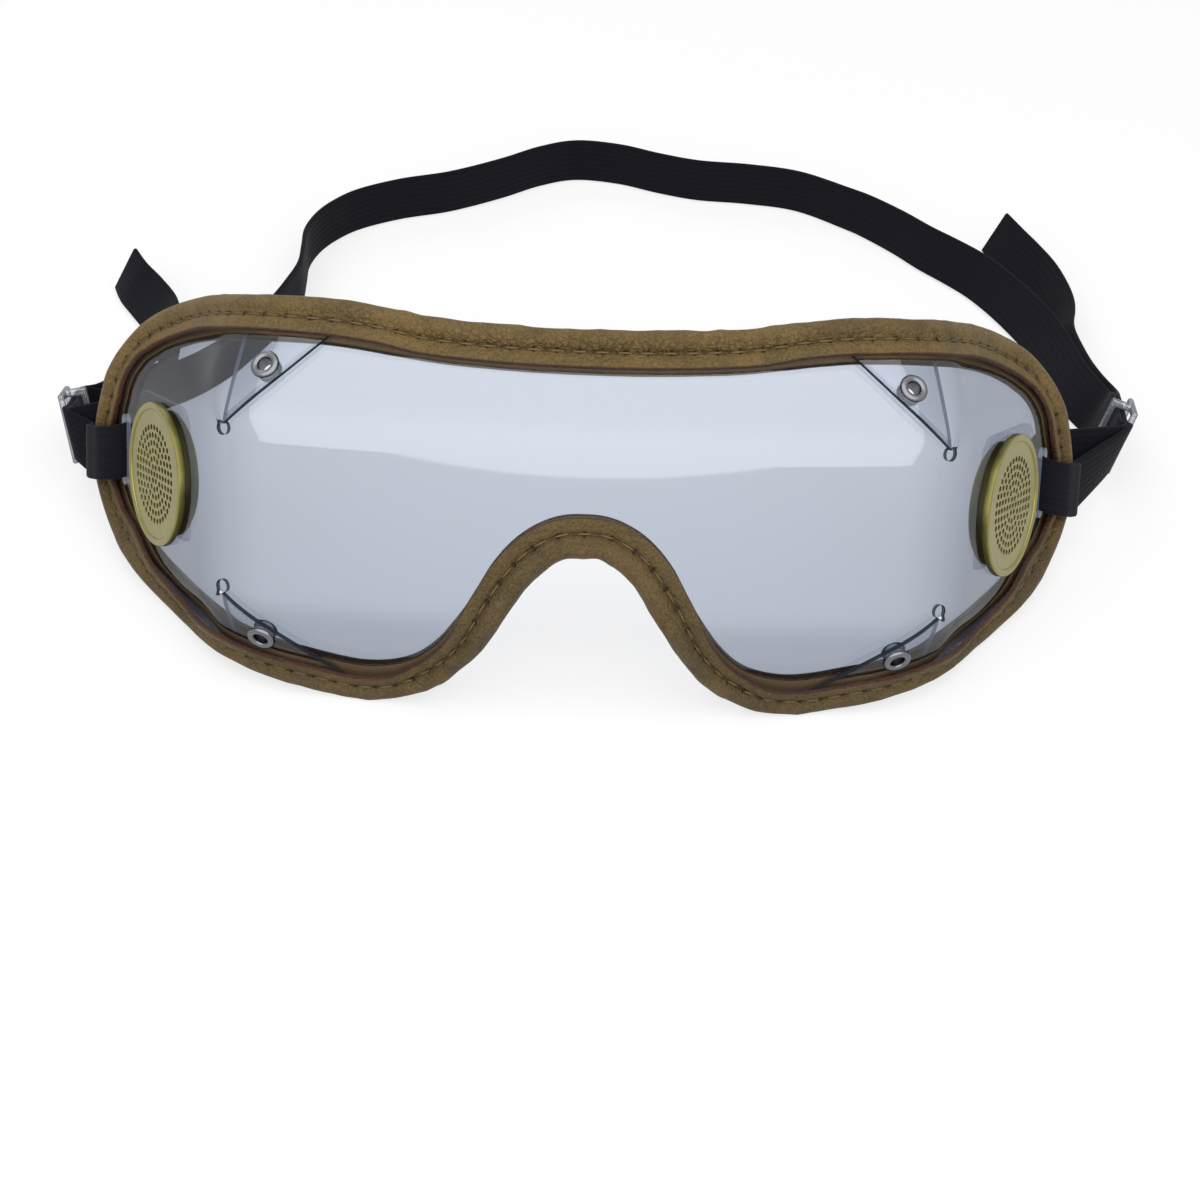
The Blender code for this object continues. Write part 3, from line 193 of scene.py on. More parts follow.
# Free strap: across and back as shares of the loop, and the ribbon's lean in degrees
HEAD_ROUTE_SHARES = (
    (-0.990, 0.409, 8), (-0.948, 0.428, 0), (-0.893, 0.448, 0), (-0.844, 0.468, 0),
    (-0.803, 0.490, 0), (-0.758, 0.522, 0), (-0.718, 0.562, 0), (-0.680, 0.605, 0),
    (-0.653, 0.649, 0), (-0.636, 0.686, 0), (-0.635, 0.724, 0), (-0.635, 0.760, 0),
    (-0.618, 0.794, 0), (-0.587, 0.824, 0), (-0.533, 0.855, 0), (-0.440, 0.884, 0),
    (-0.328, 0.907, 0), (-0.214, 0.943, 0), (-0.123, 0.978, 0), (-0.037, 0.997, 0),
    (0.066, 0.991, 0), (0.160, 0.972, 0), (0.253, 0.958, 0), (0.370, 0.953, 0),
    (0.487, 0.940, 0), (0.599, 0.902, -4), (0.650, 0.881, -8), (0.713, 0.848, -12),
    (0.767, 0.815, -16), (0.819, 0.788, -20), (0.870, 0.759, -24), (0.911, 0.727, -27),
    (0.951, 0.688, -30), (0.987, 0.645, -33), (1.006, 0.611, -36), (1.021, 0.573, -38),
    (1.034, 0.540, -38), (1.053, 0.509, -36), (1.076, 0.478, -30),
)
LEFT_TAIL_SHARES = (
    (-1.005, 0.418, 8), (-0.958, 0.437, 0), (-0.905, 0.456, 4), (-0.868, 0.478, 10),
    (-0.872, 0.508, 18), (-0.893, 0.554, 30), (-0.926, 0.612, 46), (-0.964, 0.648, 46),
    (-1.001, 0.676, 38), (-1.025, 0.702, 30),
)
RIGHT_TAIL_SHARES = (
    (1.091, 0.481, 28), (1.067, 0.512, 32), (1.049, 0.543, 33), (1.037, 0.575, 33),
    (1.028, 0.609, 34), (1.028, 0.634, 36), (1.036, 0.661, 38), (1.039, 0.687, 40),
    (1.033, 0.720, 40), (1.018, 0.758, 38), (0.993, 0.794, 36), (0.965, 0.828, 34),
    (0.938, 0.862, 30),
)

# Shares of a loop's slip from the rim in to the slot, and of half the run in an adjuster
SLIP_SHARES = (1.0, 0.96, 0.90, 0.78, 0.60, 0.30)
RUN_SHARES = (-1.0, -0.62, 0.0, 0.62, 1.0)

# Left and right: how far the loops slip up in front of the sheet and behind it, the
# adjusters' reach, way out and rise from the slot, and their turn, fall, tilt and lean back
# in degrees
FRONT_SLIPS = -0.0018, -0.0023
REAR_SLIPS = 0.0022, 0.0026
ADJUSTER_PLACES = (0.0229, 0.0004, 0.0006), (0.0327, 0.0015, 0.0044)
ADJUSTER_TURNS = (3, 23, 14, 29), (5, 15, 17, 4)

# Camera: its place from the middle of the lens, its turn, and its lens on a 36 mm sensor
CAMERA_REACH = Vector((-0.00390, -0.33024, 0.25492))
CAMERA_FALL = math.radians(39.14)
CAMERA_YAW = math.radians(1.19)
CAMERA_ROLL = math.radians(2.81)
CAMERA_LENS = 78.9

# Main softbox: its direction and distance from the middle of the lens, and its size
SOFTBOX_RISE = math.radians(57)
SOFTBOX_REACH = 0.8
SOFTBOX_SIZE = (1.7, 1.495)

# Small softbox behind: its place from the middle of the lens, and its size
BACK_SOFTBOX_REACH = Vector((-0.35, 0.75, 0.60))
BACK_SOFTBOX_SIZE = (0.4, 0.4)

# Half the width of the paper floor
FLOOR_REACH = 6.0

# Painted shade on the rim: the share of the cap's radius and the steepness where it starts
RIM_SHADE_SHARE = 0.97
RIM_SHADE_SLOPE = 0.7


# Shape of the sheet

SIDE_AXIS = Vector((math.cos(SIDE_HEADING), math.sin(SIDE_HEADING)))
SIDE_NORMAL = Vector((math.sin(SIDE_HEADING), -math.cos(SIDE_HEADING)))
ARC_CENTRE = Vector((0.0, FACE_RADIUS))
CORNER_ANGLE = FACE_HALF_WIDTH / FACE_RADIUS
CORNER = Vector((FACE_RADIUS * math.sin(CORNER_ANGLE),
                 FACE_RADIUS - FACE_RADIUS * math.cos(CORNER_ANGLE)))
PROBE = WELD * 100


def set_back(z):
    """How far the sheet at height z leans in behind its upright middle."""
    rise = max(abs(z) - FLANGE_START, 0.0)
    if rise < FLANGE_BLEND:
        return math.tan(FLANGE_LEAN) * rise * rise / (2 * FLANGE_BLEND)
    return math.tan(FLANGE_LEAN) * (rise - FLANGE_BLEND / 2)


def fold_at(z):
    """Centre of the fold at height z, where it starts along the front, and its length."""
    inset = set_back(z)
    foot = CORNER - (inset + FOLD_RADIUS) * SIDE_NORMAL
    spoke = foot - ARC_CENTRE
    along = spoke.dot(SIDE_AXIS)
    span = FACE_RADIUS - inset - FOLD_RADIUS
    slide = -along - math.sqrt(along * along - spoke.dot(spoke) + span * span)
    centre = foot + slide * SIDE_AXIS
    turn = math.atan2(centre.x, FACE_RADIUS - centre.y)
    return centre, (FACE_RADIUS - inset) * turn, FOLD_RADIUS * (SIDE_HEADING - turn), turn


def on_sheet(u, z):
    """Point of the sheet's middle surface at distance u along it and height z."""
    reach = abs(u)
    inset = set_back(z)
    centre, front, roll, turn = fold_at(z)
    if reach < front:
        angle = reach / (FACE_RADIUS - inset)
        flat = ARC_CENTRE + (FACE_RADIUS - inset) * Vector((math.sin(angle), -math.cos(angle)))
    elif reach < front + roll:
        angle = turn + (reach - front) / FOLD_RADIUS
        flat = centre + FOLD_RADIUS * Vector((math.sin(angle), -math.cos(angle)))
    else:
        flat = centre + FOLD_RADIUS * SIDE_NORMAL + (reach - front - roll) * SIDE_AXIS
    return Vector((math.copysign(flat.x, u) if flat.x else flat.x, flat.y, z))


def sheet_tangents(u, z):
    """Rates of change of the sheet along u and along z."""
    along = (on_sheet(u + PROBE, z) - on_sheet(u - PROBE, z)) / (2 * PROBE)
    rising = (on_sheet(u, z + PROBE) - on_sheet(u, z - PROBE)) / (2 * PROBE)
    return along, rising


def off_sheet(u, z, out):
    """Point a distance out in front of the sheet's middle surface."""
    along, rising = sheet_tangents(u, z)
    return on_sheet(u, z) + out * along.cross(rising).normalized()


FOLD_START, FOLD_LENGTH = fold_at(0.0)[1:3]
FOLD_MIDDLE = FOLD_START + FOLD_LENGTH / 2
FOLD_END = FOLD_START + FOLD_LENGTH
VENT_PLACE = FOLD_END + VENT_MARGIN + VENT_RADIUS
SLOT_PLACE = VENT_PLACE + VENT_RADIUS + SLOT_MARGIN + SLOT_WIDTH / 2
HALF_SPAN = SLOT_PLACE + SLOT_TO_RIM
RELIEF_HEIGHT = FLANGE_START + CLEARANCE
FLAP_LIFT = LENS_THICKNESS + CLEARANCE


def from_relief(u, z):
    """Distances across and above from the relief hole of a place's own corner."""
    return abs(u) - FOLD_MIDDLE, abs(z) - RELIEF_HEIGHT


def flap_lift(u, z):
    """How far the outer flap rides over the tucked one near a corner overlap."""
    across, above = from_relief(u, z)
    angle = math.atan2(above, across)
    if angle < -math.pi / 2:
        angle += 2 * math.pi
    fade = smooth_step((angle - (TUCK_ANGLE - FLAP_EASE - FLAP_FADE)) / FLAP_FADE)
    return FLAP_LIFT * min(math.hypot(across, above) / RELIEF_RADIUS, 1.0) * fade


def slit_angle(half):
    """Direction of an outer flap's edge, upper or lower by the sign given."""
    return SLIT_ANGLES[int(half > 0)]


def past_slit(u, z):
    """How far inside the edge of the outer flap a place lies, in its half of the sheet."""
    across, above = from_relief(u, z)
    return across * math.sin(slit_angle(z)) - above * math.cos(slit_angle(z))


def in_flap(u, z, margin):
    """True where the outer flap, grown by the margin, covers the sheet."""
    return from_relief(u, z)[1] > 0.0 and past_slit(u, z) > -margin


# Curves

def catmull(points, closed, steps):
    """Points of a smooth curve through the given vectors, steps to each stretch."""
    count = len(points)
    spans = count if closed else count - 1
    curve = []
    for i in range(spans):
        if closed:
            a, b, c, d = (points[(i + k) % count] for k in (-1, 0, 1, 2))
        else:
            a, b, c, d = (points[min(max(i + k, 0), count - 1)] for k in (-1, 0, 1, 2))
        for k in range(steps):
            t = k / steps
            curve.append(0.5 * (2 * b + (c - a) * t + (2 * a - 5 * b + 4 * c - d) * t * t
                                + (3 * b - a - 3 * c + d) * t * t * t))
    if not closed:
        curve.append(points[-1].copy())
    return curve


def rim_outline():
    """The closed edge of the lens in sheet coordinates, fine enough to measure on."""
    half = [Vector((across * HALF_SPAN, up * (BROW_HEIGHT if up > 0 else LOBE_DEPTH)))
            for across, up in RIM_SHARES]
    return catmull(half + [Vector((-p.x, p.y)) for p in half[-2:0:-1]], True, RIM_STEPS)


RIM_PATH = rim_outline()


def nearest_on_rim(error):
    """Index of the rim point of least error; an error of None leaves a point out."""
    errors = [(error(point), i) for i, point in enumerate(RIM_PATH)]
    return min(pair for pair in errors if pair[0] is not None)[1]


def crossing(angle, side, half):
    """Index on the rim where a line from a relief hole at the angle reaches it."""

    def error(point):
        across, above = from_relief(point.x, point.y)
        if point.x * side <= 0 or point.y * half <= 0 or above <= 0:
            return None
        return abs(math.atan2(above, across) - angle)

    return nearest_on_rim(error)


def seam_index(side):
    """Index on the rim of the butt seam between the two bindings."""
    return nearest_on_rim(lambda point: abs(point.y - SEAM_RAISE)
                          if point.x * side >= VENT_PLACE else None)


def rim_between(start, end):
    """Fine rim points from one index forward to another."""
    count = len(RIM_PATH)
    return [RIM_PATH[(start + k) % count] for k in range((end - start) % count + 1)]


def ring_points(centre, radius, facets, start=0.0, sweep=2 * math.pi):
    """Points round a circle in sheet coordinates; an open sweep keeps both ends."""
    whole = abs(sweep) >= 2 * math.pi - WELD
    count = facets if whole else facets + 1
    return [centre + radius * Vector((math.cos(start + sweep * i / facets),
                                      math.sin(start + sweep * i / facets)))
            for i in range(count)]


def slot_points(side):
    """Outline of a strap slot with round ends."""
    radius = SLOT_WIDTH / 2
    straight = SLOT_LENGTH / 2 - radius
    middle = Vector((side * SLOT_PLACE, SLOT_RAISE))
    top = ring_points(middle + Vector((0.0, straight)), radius, SLOT_END_FACETS, 0.0, math.pi)
    low = ring_points(middle - Vector((0.0, straight)), radius, SLOT_END_FACETS,
                      math.pi, math.pi)
    return top + low


def even_points(path, pitch):
    """Points an even distance apart along an open path, with both of its ends."""
    lengths = [0.0]
    for here, there in zip(path, path[1:]):
        lengths.append(lengths[-1] + (there - here).length)
    total = max(int(round(lengths[-1] / pitch)), 2)
    picked = []
    place = 0
    for k in range(total + 1):
        want = lengths[-1] * k / total
        while place < len(path) - 2 and lengths[place + 1] < want:
            place += 1
        step = max(lengths[place + 1] - lengths[place], WELD)
        share = min(max((want - lengths[place]) / step, 0.0), 1.0)
        picked.append(path[place].lerp(path[place + 1], share))
    return picked


def smooth_step(value):
    """Eases from 0 to 1 as the value does."""
    value = min(max(value, 0.0), 1.0)
    return value * value * (3 - 2 * value)


# Objects

def add_piece(name, mesh, material, smooth_angle=35):
    """Links a mesh as a piece with its finish, smooth up to an angle in degrees."""
    mesh.materials.clear()
    mesh.materials.append(material)
    mesh.shade_smooth()
    mesh.set_sharp_from_angle(angle=math.radians(smooth_angle))
    return linked(name, mesh)


def linked(name, data):
    """A new object in the scene."""
    thing = bpy.data.objects.new(name, data)
    bpy.context.scene.collection.objects.link(thing)
    return thing


def dress(piece, body, node):
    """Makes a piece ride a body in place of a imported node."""
    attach(piece, body)
    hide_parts(node)


def written(shape, mesh):
    """A mesh that takes a shape with its faces outwards; the shape is used up."""
    bmesh.ops.recalc_face_normals(shape, faces=shape.faces)
    shape.to_mesh(mesh)
    shape.free()
    return mesh


def mesh_from(name, vertices, faces, values=None):
    """A mesh with faces outwards, and named values at its points."""
    mesh = bpy.data.meshes.new(name)
    mesh.from_pydata([tuple(v) for v in vertices], [], faces)
    shape = bmesh.new()
    shape.from_mesh(mesh)
    written(shape, mesh)
    for key, numbers in (values or {}).items():
        mesh.attributes.new(key, "FLOAT", "POINT").data.foreach_set("value", numbers)
    return mesh


def tube(name, vertices, size, values=None):
    """A closed body through rings of one size, one after another, with flat ends."""
    last = len(vertices) - size
    faces = [(i + k, i + (k + 1) % size, i + size + (k + 1) % size, i + size + k)
             for i in range(0, last, size) for k in range(size)]
    faces += [tuple(range(size)), tuple(range(last, last + size))]
    return mesh_from(name, vertices, faces, values)


def beside(row, i, reach=1):
    """The entries of a row before and after one, or the one itself at an end."""
    return row[max(i - reach, 0)], row[min(i + reach, len(row) - 1)]


def turned(name, profile, facets):
    """A closed body of revolution from a closed profile of radius and height."""
    shape = bmesh.new()
    points = [shape.verts.new((radius, 0.0, height)) for radius, height in profile]
    edges = [shape.edges.new((points[i - 1], points[i])) for i in range(len(points))]
    bmesh.ops.spin(shape, geom=points + edges, axis=(0, 0, 1), cent=(0, 0, 0),
                   angle=2 * math.pi, steps=facets, use_merge=True)
    bmesh.ops.remove_doubles(shape, verts=shape.verts, dist=WELD)
    return written(shape, bpy.data.meshes.new(name))


def matrix_of(place, *axes):
    """Matrix with its middle at a place and its X, Y and Z along the axes."""
    matrix = Matrix(axes).transposed().to_4x4()
    matrix.translation = place
    return matrix


def panel_frame(u, z):
    """Matrix at a place on the sheet: X along it, Y up it and Z out of it."""
    along, rising = sheet_tangents(u, z)
    out = along.cross(rising).normalized()
    across = along.normalized()
    return STAND @ matrix_of(on_sheet(u, z), across, out.cross(across), out)


def plain(piece):
    """Makes the result of a piece's modifiers its own mesh."""
    graph = bpy.context.evaluated_depsgraph_get()
    mesh = bpy.data.meshes.new_from_object(piece.evaluated_get(graph))
    piece.modifiers.clear()
    spare, piece.data = piece.data, mesh
    bpy.data.meshes.remove(spare)
    return piece


# Materials

def srgb(code):
    """Linear colour of an sRGB hex code."""
    parts = [int(code[i:i + 2], 16) / 255 for i in (1, 3, 5)]
    return tuple(p / 12.92 if p <= 0.04045 else ((p + 0.055) / 1.055) ** 2.4 for p in parts)


def add_node(tree, kind, values=None, **settings):
    """Adds a node, sets its properties, and fills or links its inputs."""
    node = tree.nodes.new(kind)
    for key, value in settings.items():
        setattr(node, key, value)
    for key, value in (values or {}).items():
        socket = node.inputs[key]
        if isinstance(value, bpy.types.NodeSocket):
            tree.links.new(value, socket)
        else:
            socket.default_value = value
    return node


def value_of(tree, operation, a, b=0.0, c=0.0):
    """Result of a sum on values or sockets."""
    return add_node(tree, "ShaderNodeMath", {0: a, 1: b, 2: c}, operation=operation).outputs[0]


def opaque(colour):
    """A colour as sockets take it; a socket stays as it is."""
    return colour if isinstance(colour, bpy.types.NodeSocket) else (*colour, 1.0)


class Paint:
    """A new material, with short ways to add the nodes that its finish is made of."""

    def __init__(self, name):
        self.material = bpy.data.materials.new(name)
        self.material.use_nodes = True
        self.tree = self.material.node_tree
        self.tree.nodes.clear()
        self.output = self.add("OutputMaterial")

    @cached_property
    def place(self):
        """Where a point lies on its piece."""
        return self.add("TexCoord").outputs["Object"]

    def add(self, kind, values=None, **settings):
        """A new shader node."""
        return add_node(self.tree, "ShaderNode" + kind, values, **settings)

    def value_of(self, operation, a, b=0.0, c=0.0):
        """Result of a sum on values or sockets."""
        return value_of(self.tree, operation, a, b, c)

    def noise(self, size, detail, roughness=0.5):
        """Noise of a size in millimetres, from 0 to 1."""
        return self.add("TexNoise", {
            "Vector": self.place, "Scale": 1000.0 / size, "Detail": detail,
            "Roughness": roughness}).outputs["Fac"]

    def cells(self, size, place=None, **settings):
        """Distances in cells of a size in millimetres."""
        return self.add("TexVoronoi", {
            "Vector": place or self.place, "Scale": 1000.0 / size}, **settings).outputs["Distance"]

    def point_value(self, key):
        """Value that the mesh holds at its points under a name."""
        return self.add("Attribute", attribute_name=key).outputs["Fac"]

    def spread(self, value, start, end, low=0.0, high=1.0, **settings):
        """A value's way from start to end, as one from low to high."""
        return self.add("MapRange", {
            "Value": value, "From Min": start, "From Max": end, "To Min": low,
            "To Max": high}, **settings).outputs[0]

    def blend(self, share, low, high):
        """A colour between two."""
        return self.add("Mix", {"Factor": share, "A": opaque(low), "B": opaque(high)},
                        data_type="RGBA").outputs["Result"]

    def bumps(self, strength, height, relief):
        """Normal of a relief of a height in metres."""
        return self.add("Bump", {
            "Strength": strength, "Distance": height, "Height": relief}).outputs["Normal"]

    def skin(self, colour, roughness, values=None):
        """Shader of a solid finish."""
        return self.add("BsdfPrincipled", {
            "Base Color": opaque(colour), "Roughness": roughness, **(values or {})}).outputs[0]

    def mixed(self, share, first, second):
        """Shader between two."""
        return self.add("MixShader", {0: share, 1: first, 2: second}).outputs[0]

    def done(self, surface):
        """The material, with its surface."""
        self.tree.links.new(surface, self.output.inputs["Surface"])
        return self.material


def tanned_leather(name, settings, shade_factor):
    """Drum-dyed cowhide, embossed and buffed: a pebbled grain with a low waxy shine, fine
    creases where it is gathered, and a sunk line with needle holes along each row of
    stitches; painted shade darkens the creases, the sunken gathers, the holes and the line
    towards the crease shade colour, and the shade factor darkens both colours of a whole
    roll. Its flesh side is undyed and pale."""
    paint = Paint(name)
    value_of, point_value, blend = paint.value_of, paint.point_value, paint.blend

    def ramp(value, start, end):
        return paint.spread(value, start, end, interpolation_type="SMOOTHSTEP")

    cloud, fleck, pores = (paint.noise(size, detail, 0.62)
                           for size, detail in ((9.0, 4.0), (1.1, 2.0), (0.40, 3.0)))
    drift = paint.add("TexNoise", {
        "Vector": paint.place, "Scale": 1000.0 / 2.2, "Detail": 2.0, "Roughness": 0.62})
    pulled = paint.add("Mix", {
        "Factor": 0.0020, "A": paint.place, "B": drift.outputs["Color"]},
        data_type="VECTOR").outputs["Result"]
    pebble = paint.cells(settings.grain * 1000, pulled)
    plates = paint.cells(settings.crack * 1000, pulled, feature="DISTANCE_TO_EDGE")
    # Painted shade: the creases between the plates are darkened as well as sunk.
    crack = value_of("MULTIPLY", ramp(plates, 0.20, 0.01), point_value("gather"))

    run = value_of("FRACT", value_of("ADD", point_value("row_run"), 0.5))
    along = value_of("MULTIPLY", value_of("SUBTRACT", run, 0.5), settings.stitch_pitch)
    off = point_value("row_off")
    from_hole = value_of("SQRT", value_of("MULTIPLY_ADD", along, along,
                                          value_of("MULTIPLY", off, off)))
    # Painted shade: each needle hole and the groove along the row are darkened as well as sunk.
    hole = ramp(from_hole, 0.00046, 0.00018)
    groove = value_of("MULTIPLY", ramp(value_of("ABSOLUTE", off), 0.00036, 0.00006), 0.55)
    seam = value_of("MAXIMUM", hole, groove)

    mottle = value_of("ADD", cloud, value_of("MULTIPLY", pores, 1.3))
    # Painted shade: the shade factor scales both colours, darkening a whole roll.
    body = blend(ramp(mottle, 0.80, 1.50), [c * shade_factor for c in settings.dark_colour],
                 [c * shade_factor for c in settings.light_colour])
    # Painted shade: sunken places of the roll, the stitch seam and the creases go dark.
    painted_shade = value_of("MAXIMUM", value_of("MAXIMUM", point_value("hollow_shade"), seam),
                       value_of("MULTIPLY", crack, 0.42))
    shade = blend(painted_shade, body, settings.crease_shade_colour)
    edged = blend(point_value("cut_edge"), shade, settings.edge_colour)
    colour = blend(point_value("flesh"), edged, settings.flesh_colour)

    grain = value_of("MULTIPLY_ADD", pebble, -0.7, value_of("MULTIPLY", pores, 0.9))
    sunk = value_of("MULTIPLY_ADD", crack, -0.8, value_of("MULTIPLY_ADD", seam, -0.9, grain))
    return paint.done(paint.skin(colour, paint.spread(fleck, 0.3, 0.7, 0.52, 0.68), {
        "Specular IOR Level": 0.30, "Normal": paint.bumps(1.0, 0.00030, sunk)}))


def sewing_thread(settings):
    """Bonded polyester thread, twisted and dyed to the leather: dull, with a fine twist;
    its noise blends a painted shaded side and a painted lit side.
    """
    paint = Paint("bonded_polyester_thread")
    twist = paint.noise(0.3, 2.0)
    # Painted light and shade: the twist's noise mixes the shaded and the lit colour.
    colour = paint.blend(twist, settings.thread_shaded_colour, settings.thread_lit_colour)
    return paint.done(paint.skin(colour, 0.65, {"Normal": paint.bumps(0.6, 0.00008, twist)}))


def upholstery_foam():
    """Open-cell polyether foam, sliced: matt pale grey; painted shade darkens the middle
    of each small cell, where the bump sinks it.
    """
    paint = Paint("polyether_foam")
    cells = paint.cells(0.6)
    # Painted shade: each cell is darker towards its middle, where its pit is.
    colour = paint.blend(cells, srgb("#6c6b6a"), srgb("#b4b2b0"))
    return paint.done(paint.skin(colour, 0.95, {"Normal": paint.bumps(0.8, 0.0002, cells)}))


def clear_plastic(name, tints, head_on, roughness, milk=None):
    """See-through body with a sharp reflection that grows towards grazing angles; the
    tints are what one face lets through head on and at a slant, and milk, if given, is
    a share and a colour of cloudiness."""
    paint = Paint(name)
    facing = paint.add("LayerWeight", {"Blend": 0.5}).outputs["Facing"]
    body = paint.add("BsdfTransparent", {"Color": paint.blend(facing, *tints)}).outputs[0]
    if milk:
        cloudy = paint.add("BsdfDiffuse", {"Color": opaque(milk[1])}).outputs[0]
        body = paint.mixed(milk[0], body, cloudy)
    gloss = paint.add("BsdfAnisotropic", {"Color": WHITE, "Roughness": roughness}).outputs[0]
    steep = paint.value_of("POWER", facing, 5.0)
    return paint.done(paint.mixed(paint.spread(steep, 0.0, 1.0, head_on, 0.36), body, gloss))


def polycarbonate_sheet(settings):
    """Clear extruded polycarbonate: a faint cool tint and a mirror-sharp reflection."""
    return clear_plastic("polycarbonate_sheet", (settings.tint, settings.slant_tint),
                         settings.head_on_gloss, settings.gloss_roughness)


def polycarbonate_film(settings):
    """The same plastic where it lies against another layer of itself, or in a thin
    offcut: the two read as one, so this layer adds gloss and hardly any tint."""
    return clear_plastic("polycarbonate_film", (srgb("#f8f9fb"), srgb("#e6e8ec")),
                         settings.head_on_gloss * 0.5, settings.gloss_roughness)


def bright_edge(settings):
    """Drilled or tucked edge of the sheet: it pipes the light of the room, pale and soft."""
    return clear_plastic("drilled_sheet_edge", (srgb("#e9ebef"), srgb("#c9ccd4")),
                         settings.head_on_gloss, 0.3, (0.80, srgb("#b6bbc6")))


def moulded_nylon(settings):
    """Clear nylon, injection moulded: see-through, faintly cloudy, with a wet-looking shine;
    painted shade makes it dark where it is looked at along its skin, as dark outlines."""
    # Painted shade: the slant tint is dark, so edges seen at a grazing angle read as outlines.
    return clear_plastic("moulded_nylon", (srgb("#dfe2e7"), srgb("#4c5058")), 0.085, 0.10,
                         (0.16, settings.nylon_colour))


def cemented_flesh(colour):
    """Flesh side of the leather, cemented to the back of the sheet: pale matt suede."""
    paint = Paint("cemented_suede")
    nap = paint.noise(0.7, 3.0)
    tone = paint.blend(nap, [c * 0.6 for c in colour], colour)
    return paint.done(paint.skin(tone, 0.9, {
        "Specular IOR Level": 0.1, "Normal": paint.bumps(0.6, 0.0001, nap)}))


def sheared_edge(settings):
    """Sheared edge of the sheet: light is trapped in it, so it reads as a dark line."""
    paint = Paint("sheared_sheet_edge")
    dark = paint.skin(settings.edge_colour, 0.8, {
        "Specular IOR Level": 0.08, "Normal": paint.bumps(0.4, 0.0001, paint.noise(0.4, 2.0))})
    clear = paint.add("BsdfTransparent", {"Color": opaque(settings.tint)}).outputs[0]
    return paint.done(paint.mixed(0.95, clear, dark))


def lacquered_brass(name, dark, light):
    """Pressed brass with an aged lacquer: a satin greenish gold, faintly streaked and
    pitted; given darker colours, it is the painted shade on the steep side of the rim."""
    paint = Paint(name)
    smear = paint.noise(4.0, 4.0, 0.6)
    return paint.done(paint.skin(
        paint.blend(smear, dark, light), paint.spread(smear, 0.0, 1.0, 0.30, 0.46), {
            "Metallic": 1.0, "Coat Weight": 0.25, "Coat Roughness": 0.15,
            "Normal": paint.bumps(0.55, 0.00008, paint.noise(0.55, 3.0))}))


def nickel_plate(settings):
    """Bright nickel plate on brass, tumbled: a warm silver with fine handling marks."""
    paint = Paint("nickel_plate")
    marks = paint.spread(paint.noise(0.8, 4.0), 0.0, 1.0, 0.16, 0.34)
    return paint.done(paint.skin(settings.nickel_colour, marks, {"Metallic": 1.0}))


def braided_elastic(settings):
    """Braided polyester over rubber threads: matt navy black, ribbed along its length
    where the rubber runs, with a fine cross weave; painted shade darkens it between the
    ribs and crossings, where the bump sinks it."""
    paint = Paint("braided_elastic")
    rib_turn, pick_turn = (
        paint.value_of("MULTIPLY", paint.point_value(key), 2 * math.pi / pitch)
        for key, pitch in (("across", settings.rib_pitch), ("along", settings.pick_pitch)))
    pick = paint.value_of("SINE", paint.value_of("ADD", pick_turn, rib_turn))
    weave = paint.value_of("MULTIPLY_ADD", pick, 0.45, paint.value_of("COSINE", rib_turn))
    # Painted shade: the low places of the weave are darker.
    colour = paint.blend(paint.spread(weave, -1.4, 1.4), settings.elastic_groove_shade,
                         settings.elastic_light)
    return paint.done(paint.skin(colour, 0.9, {
        "Sheen Weight": 0.03, "Sheen Roughness": 0.5, "Specular IOR Level": 0.15,
        "Normal": paint.bumps(0.32, 0.00008, weave)}))


def seen_rays(tree):
    """1 for what the camera, reflections and clear parts see, 0 for the light of the room."""
    path = add_node(tree, "ShaderNodeLightPath").outputs
    mirrored = value_of(tree, "MAXIMUM", path["Is Camera Ray"], path["Is Glossy Ray"])
    return value_of(tree, "MAXIMUM", mirrored, path["Is Transmission Ray"])


def studio_paper(settings):
    """Seamless white paper, which the camera, reflections and clear parts see as white
    and which still takes the shadow of what stands on it."""
    paint = Paint("studio_paper")
    share = paint.value_of("MULTIPLY", seen_rays(paint.tree), settings.floor_lift)
    paper = paint.add("BsdfDiffuse", {"Color": opaque(settings.floor_colour)}).outputs[0]
    white = paint.add("Emission", {"Color": WHITE}).outputs[0]
    return paint.done(paint.mixed(share, paper, white))


# Sizes and colours that a user may change

def colour_setting(label, about, code):
    """Property for a colour, given as an sRGB hex code."""
    return bpy.props.FloatVectorProperty(
        name=label, description=about, subtype="COLOR", min=0.0, max=1.0, default=srgb(code))


def share_setting(label, about, value, most=1.0):
    """Property for a share of something."""
    return bpy.props.FloatProperty(
        name=label, description=about, subtype="FACTOR", min=0.0, max=most, default=value)


def length_setting(label, about, value, least, most):
    """Property for a length in metres."""
    return bpy.props.FloatProperty(
        name=label, description=about, unit="LENGTH", min=least, max=most, default=value)


def power_setting(label, about, value, most):
    """Property for the power of a light."""
    return bpy.props.FloatProperty(
        name=label, description=about, min=0.0, max=most, default=value)


class SheetSettings(bpy.types.PropertyGroup):
    tint: colour_setting("Tint", "Colour that one face of the sheet lets through", "#dee3ea")
    slant_tint: colour_setting("Slant tint", "Colour let through on a long way at a slant",
                               "#b4b8c2")
    # Painted shade: the dark line of a sheared edge stands in for the light trapped in it.
    edge_colour: colour_setting("Edge colour", "Colour of a cut edge of the sheet", "#25272d")
    head_on_gloss: share_setting("Head-on gloss", "Share that one face reflects, seen head on",
                                 0.047)
    gloss_roughness: share_setting("Gloss roughness", "Roughness of the reflection", 0.02)
    nylon_colour: colour_setting("Nylon colour", "Milky colour of the moulded slides", "#b9bdc6")


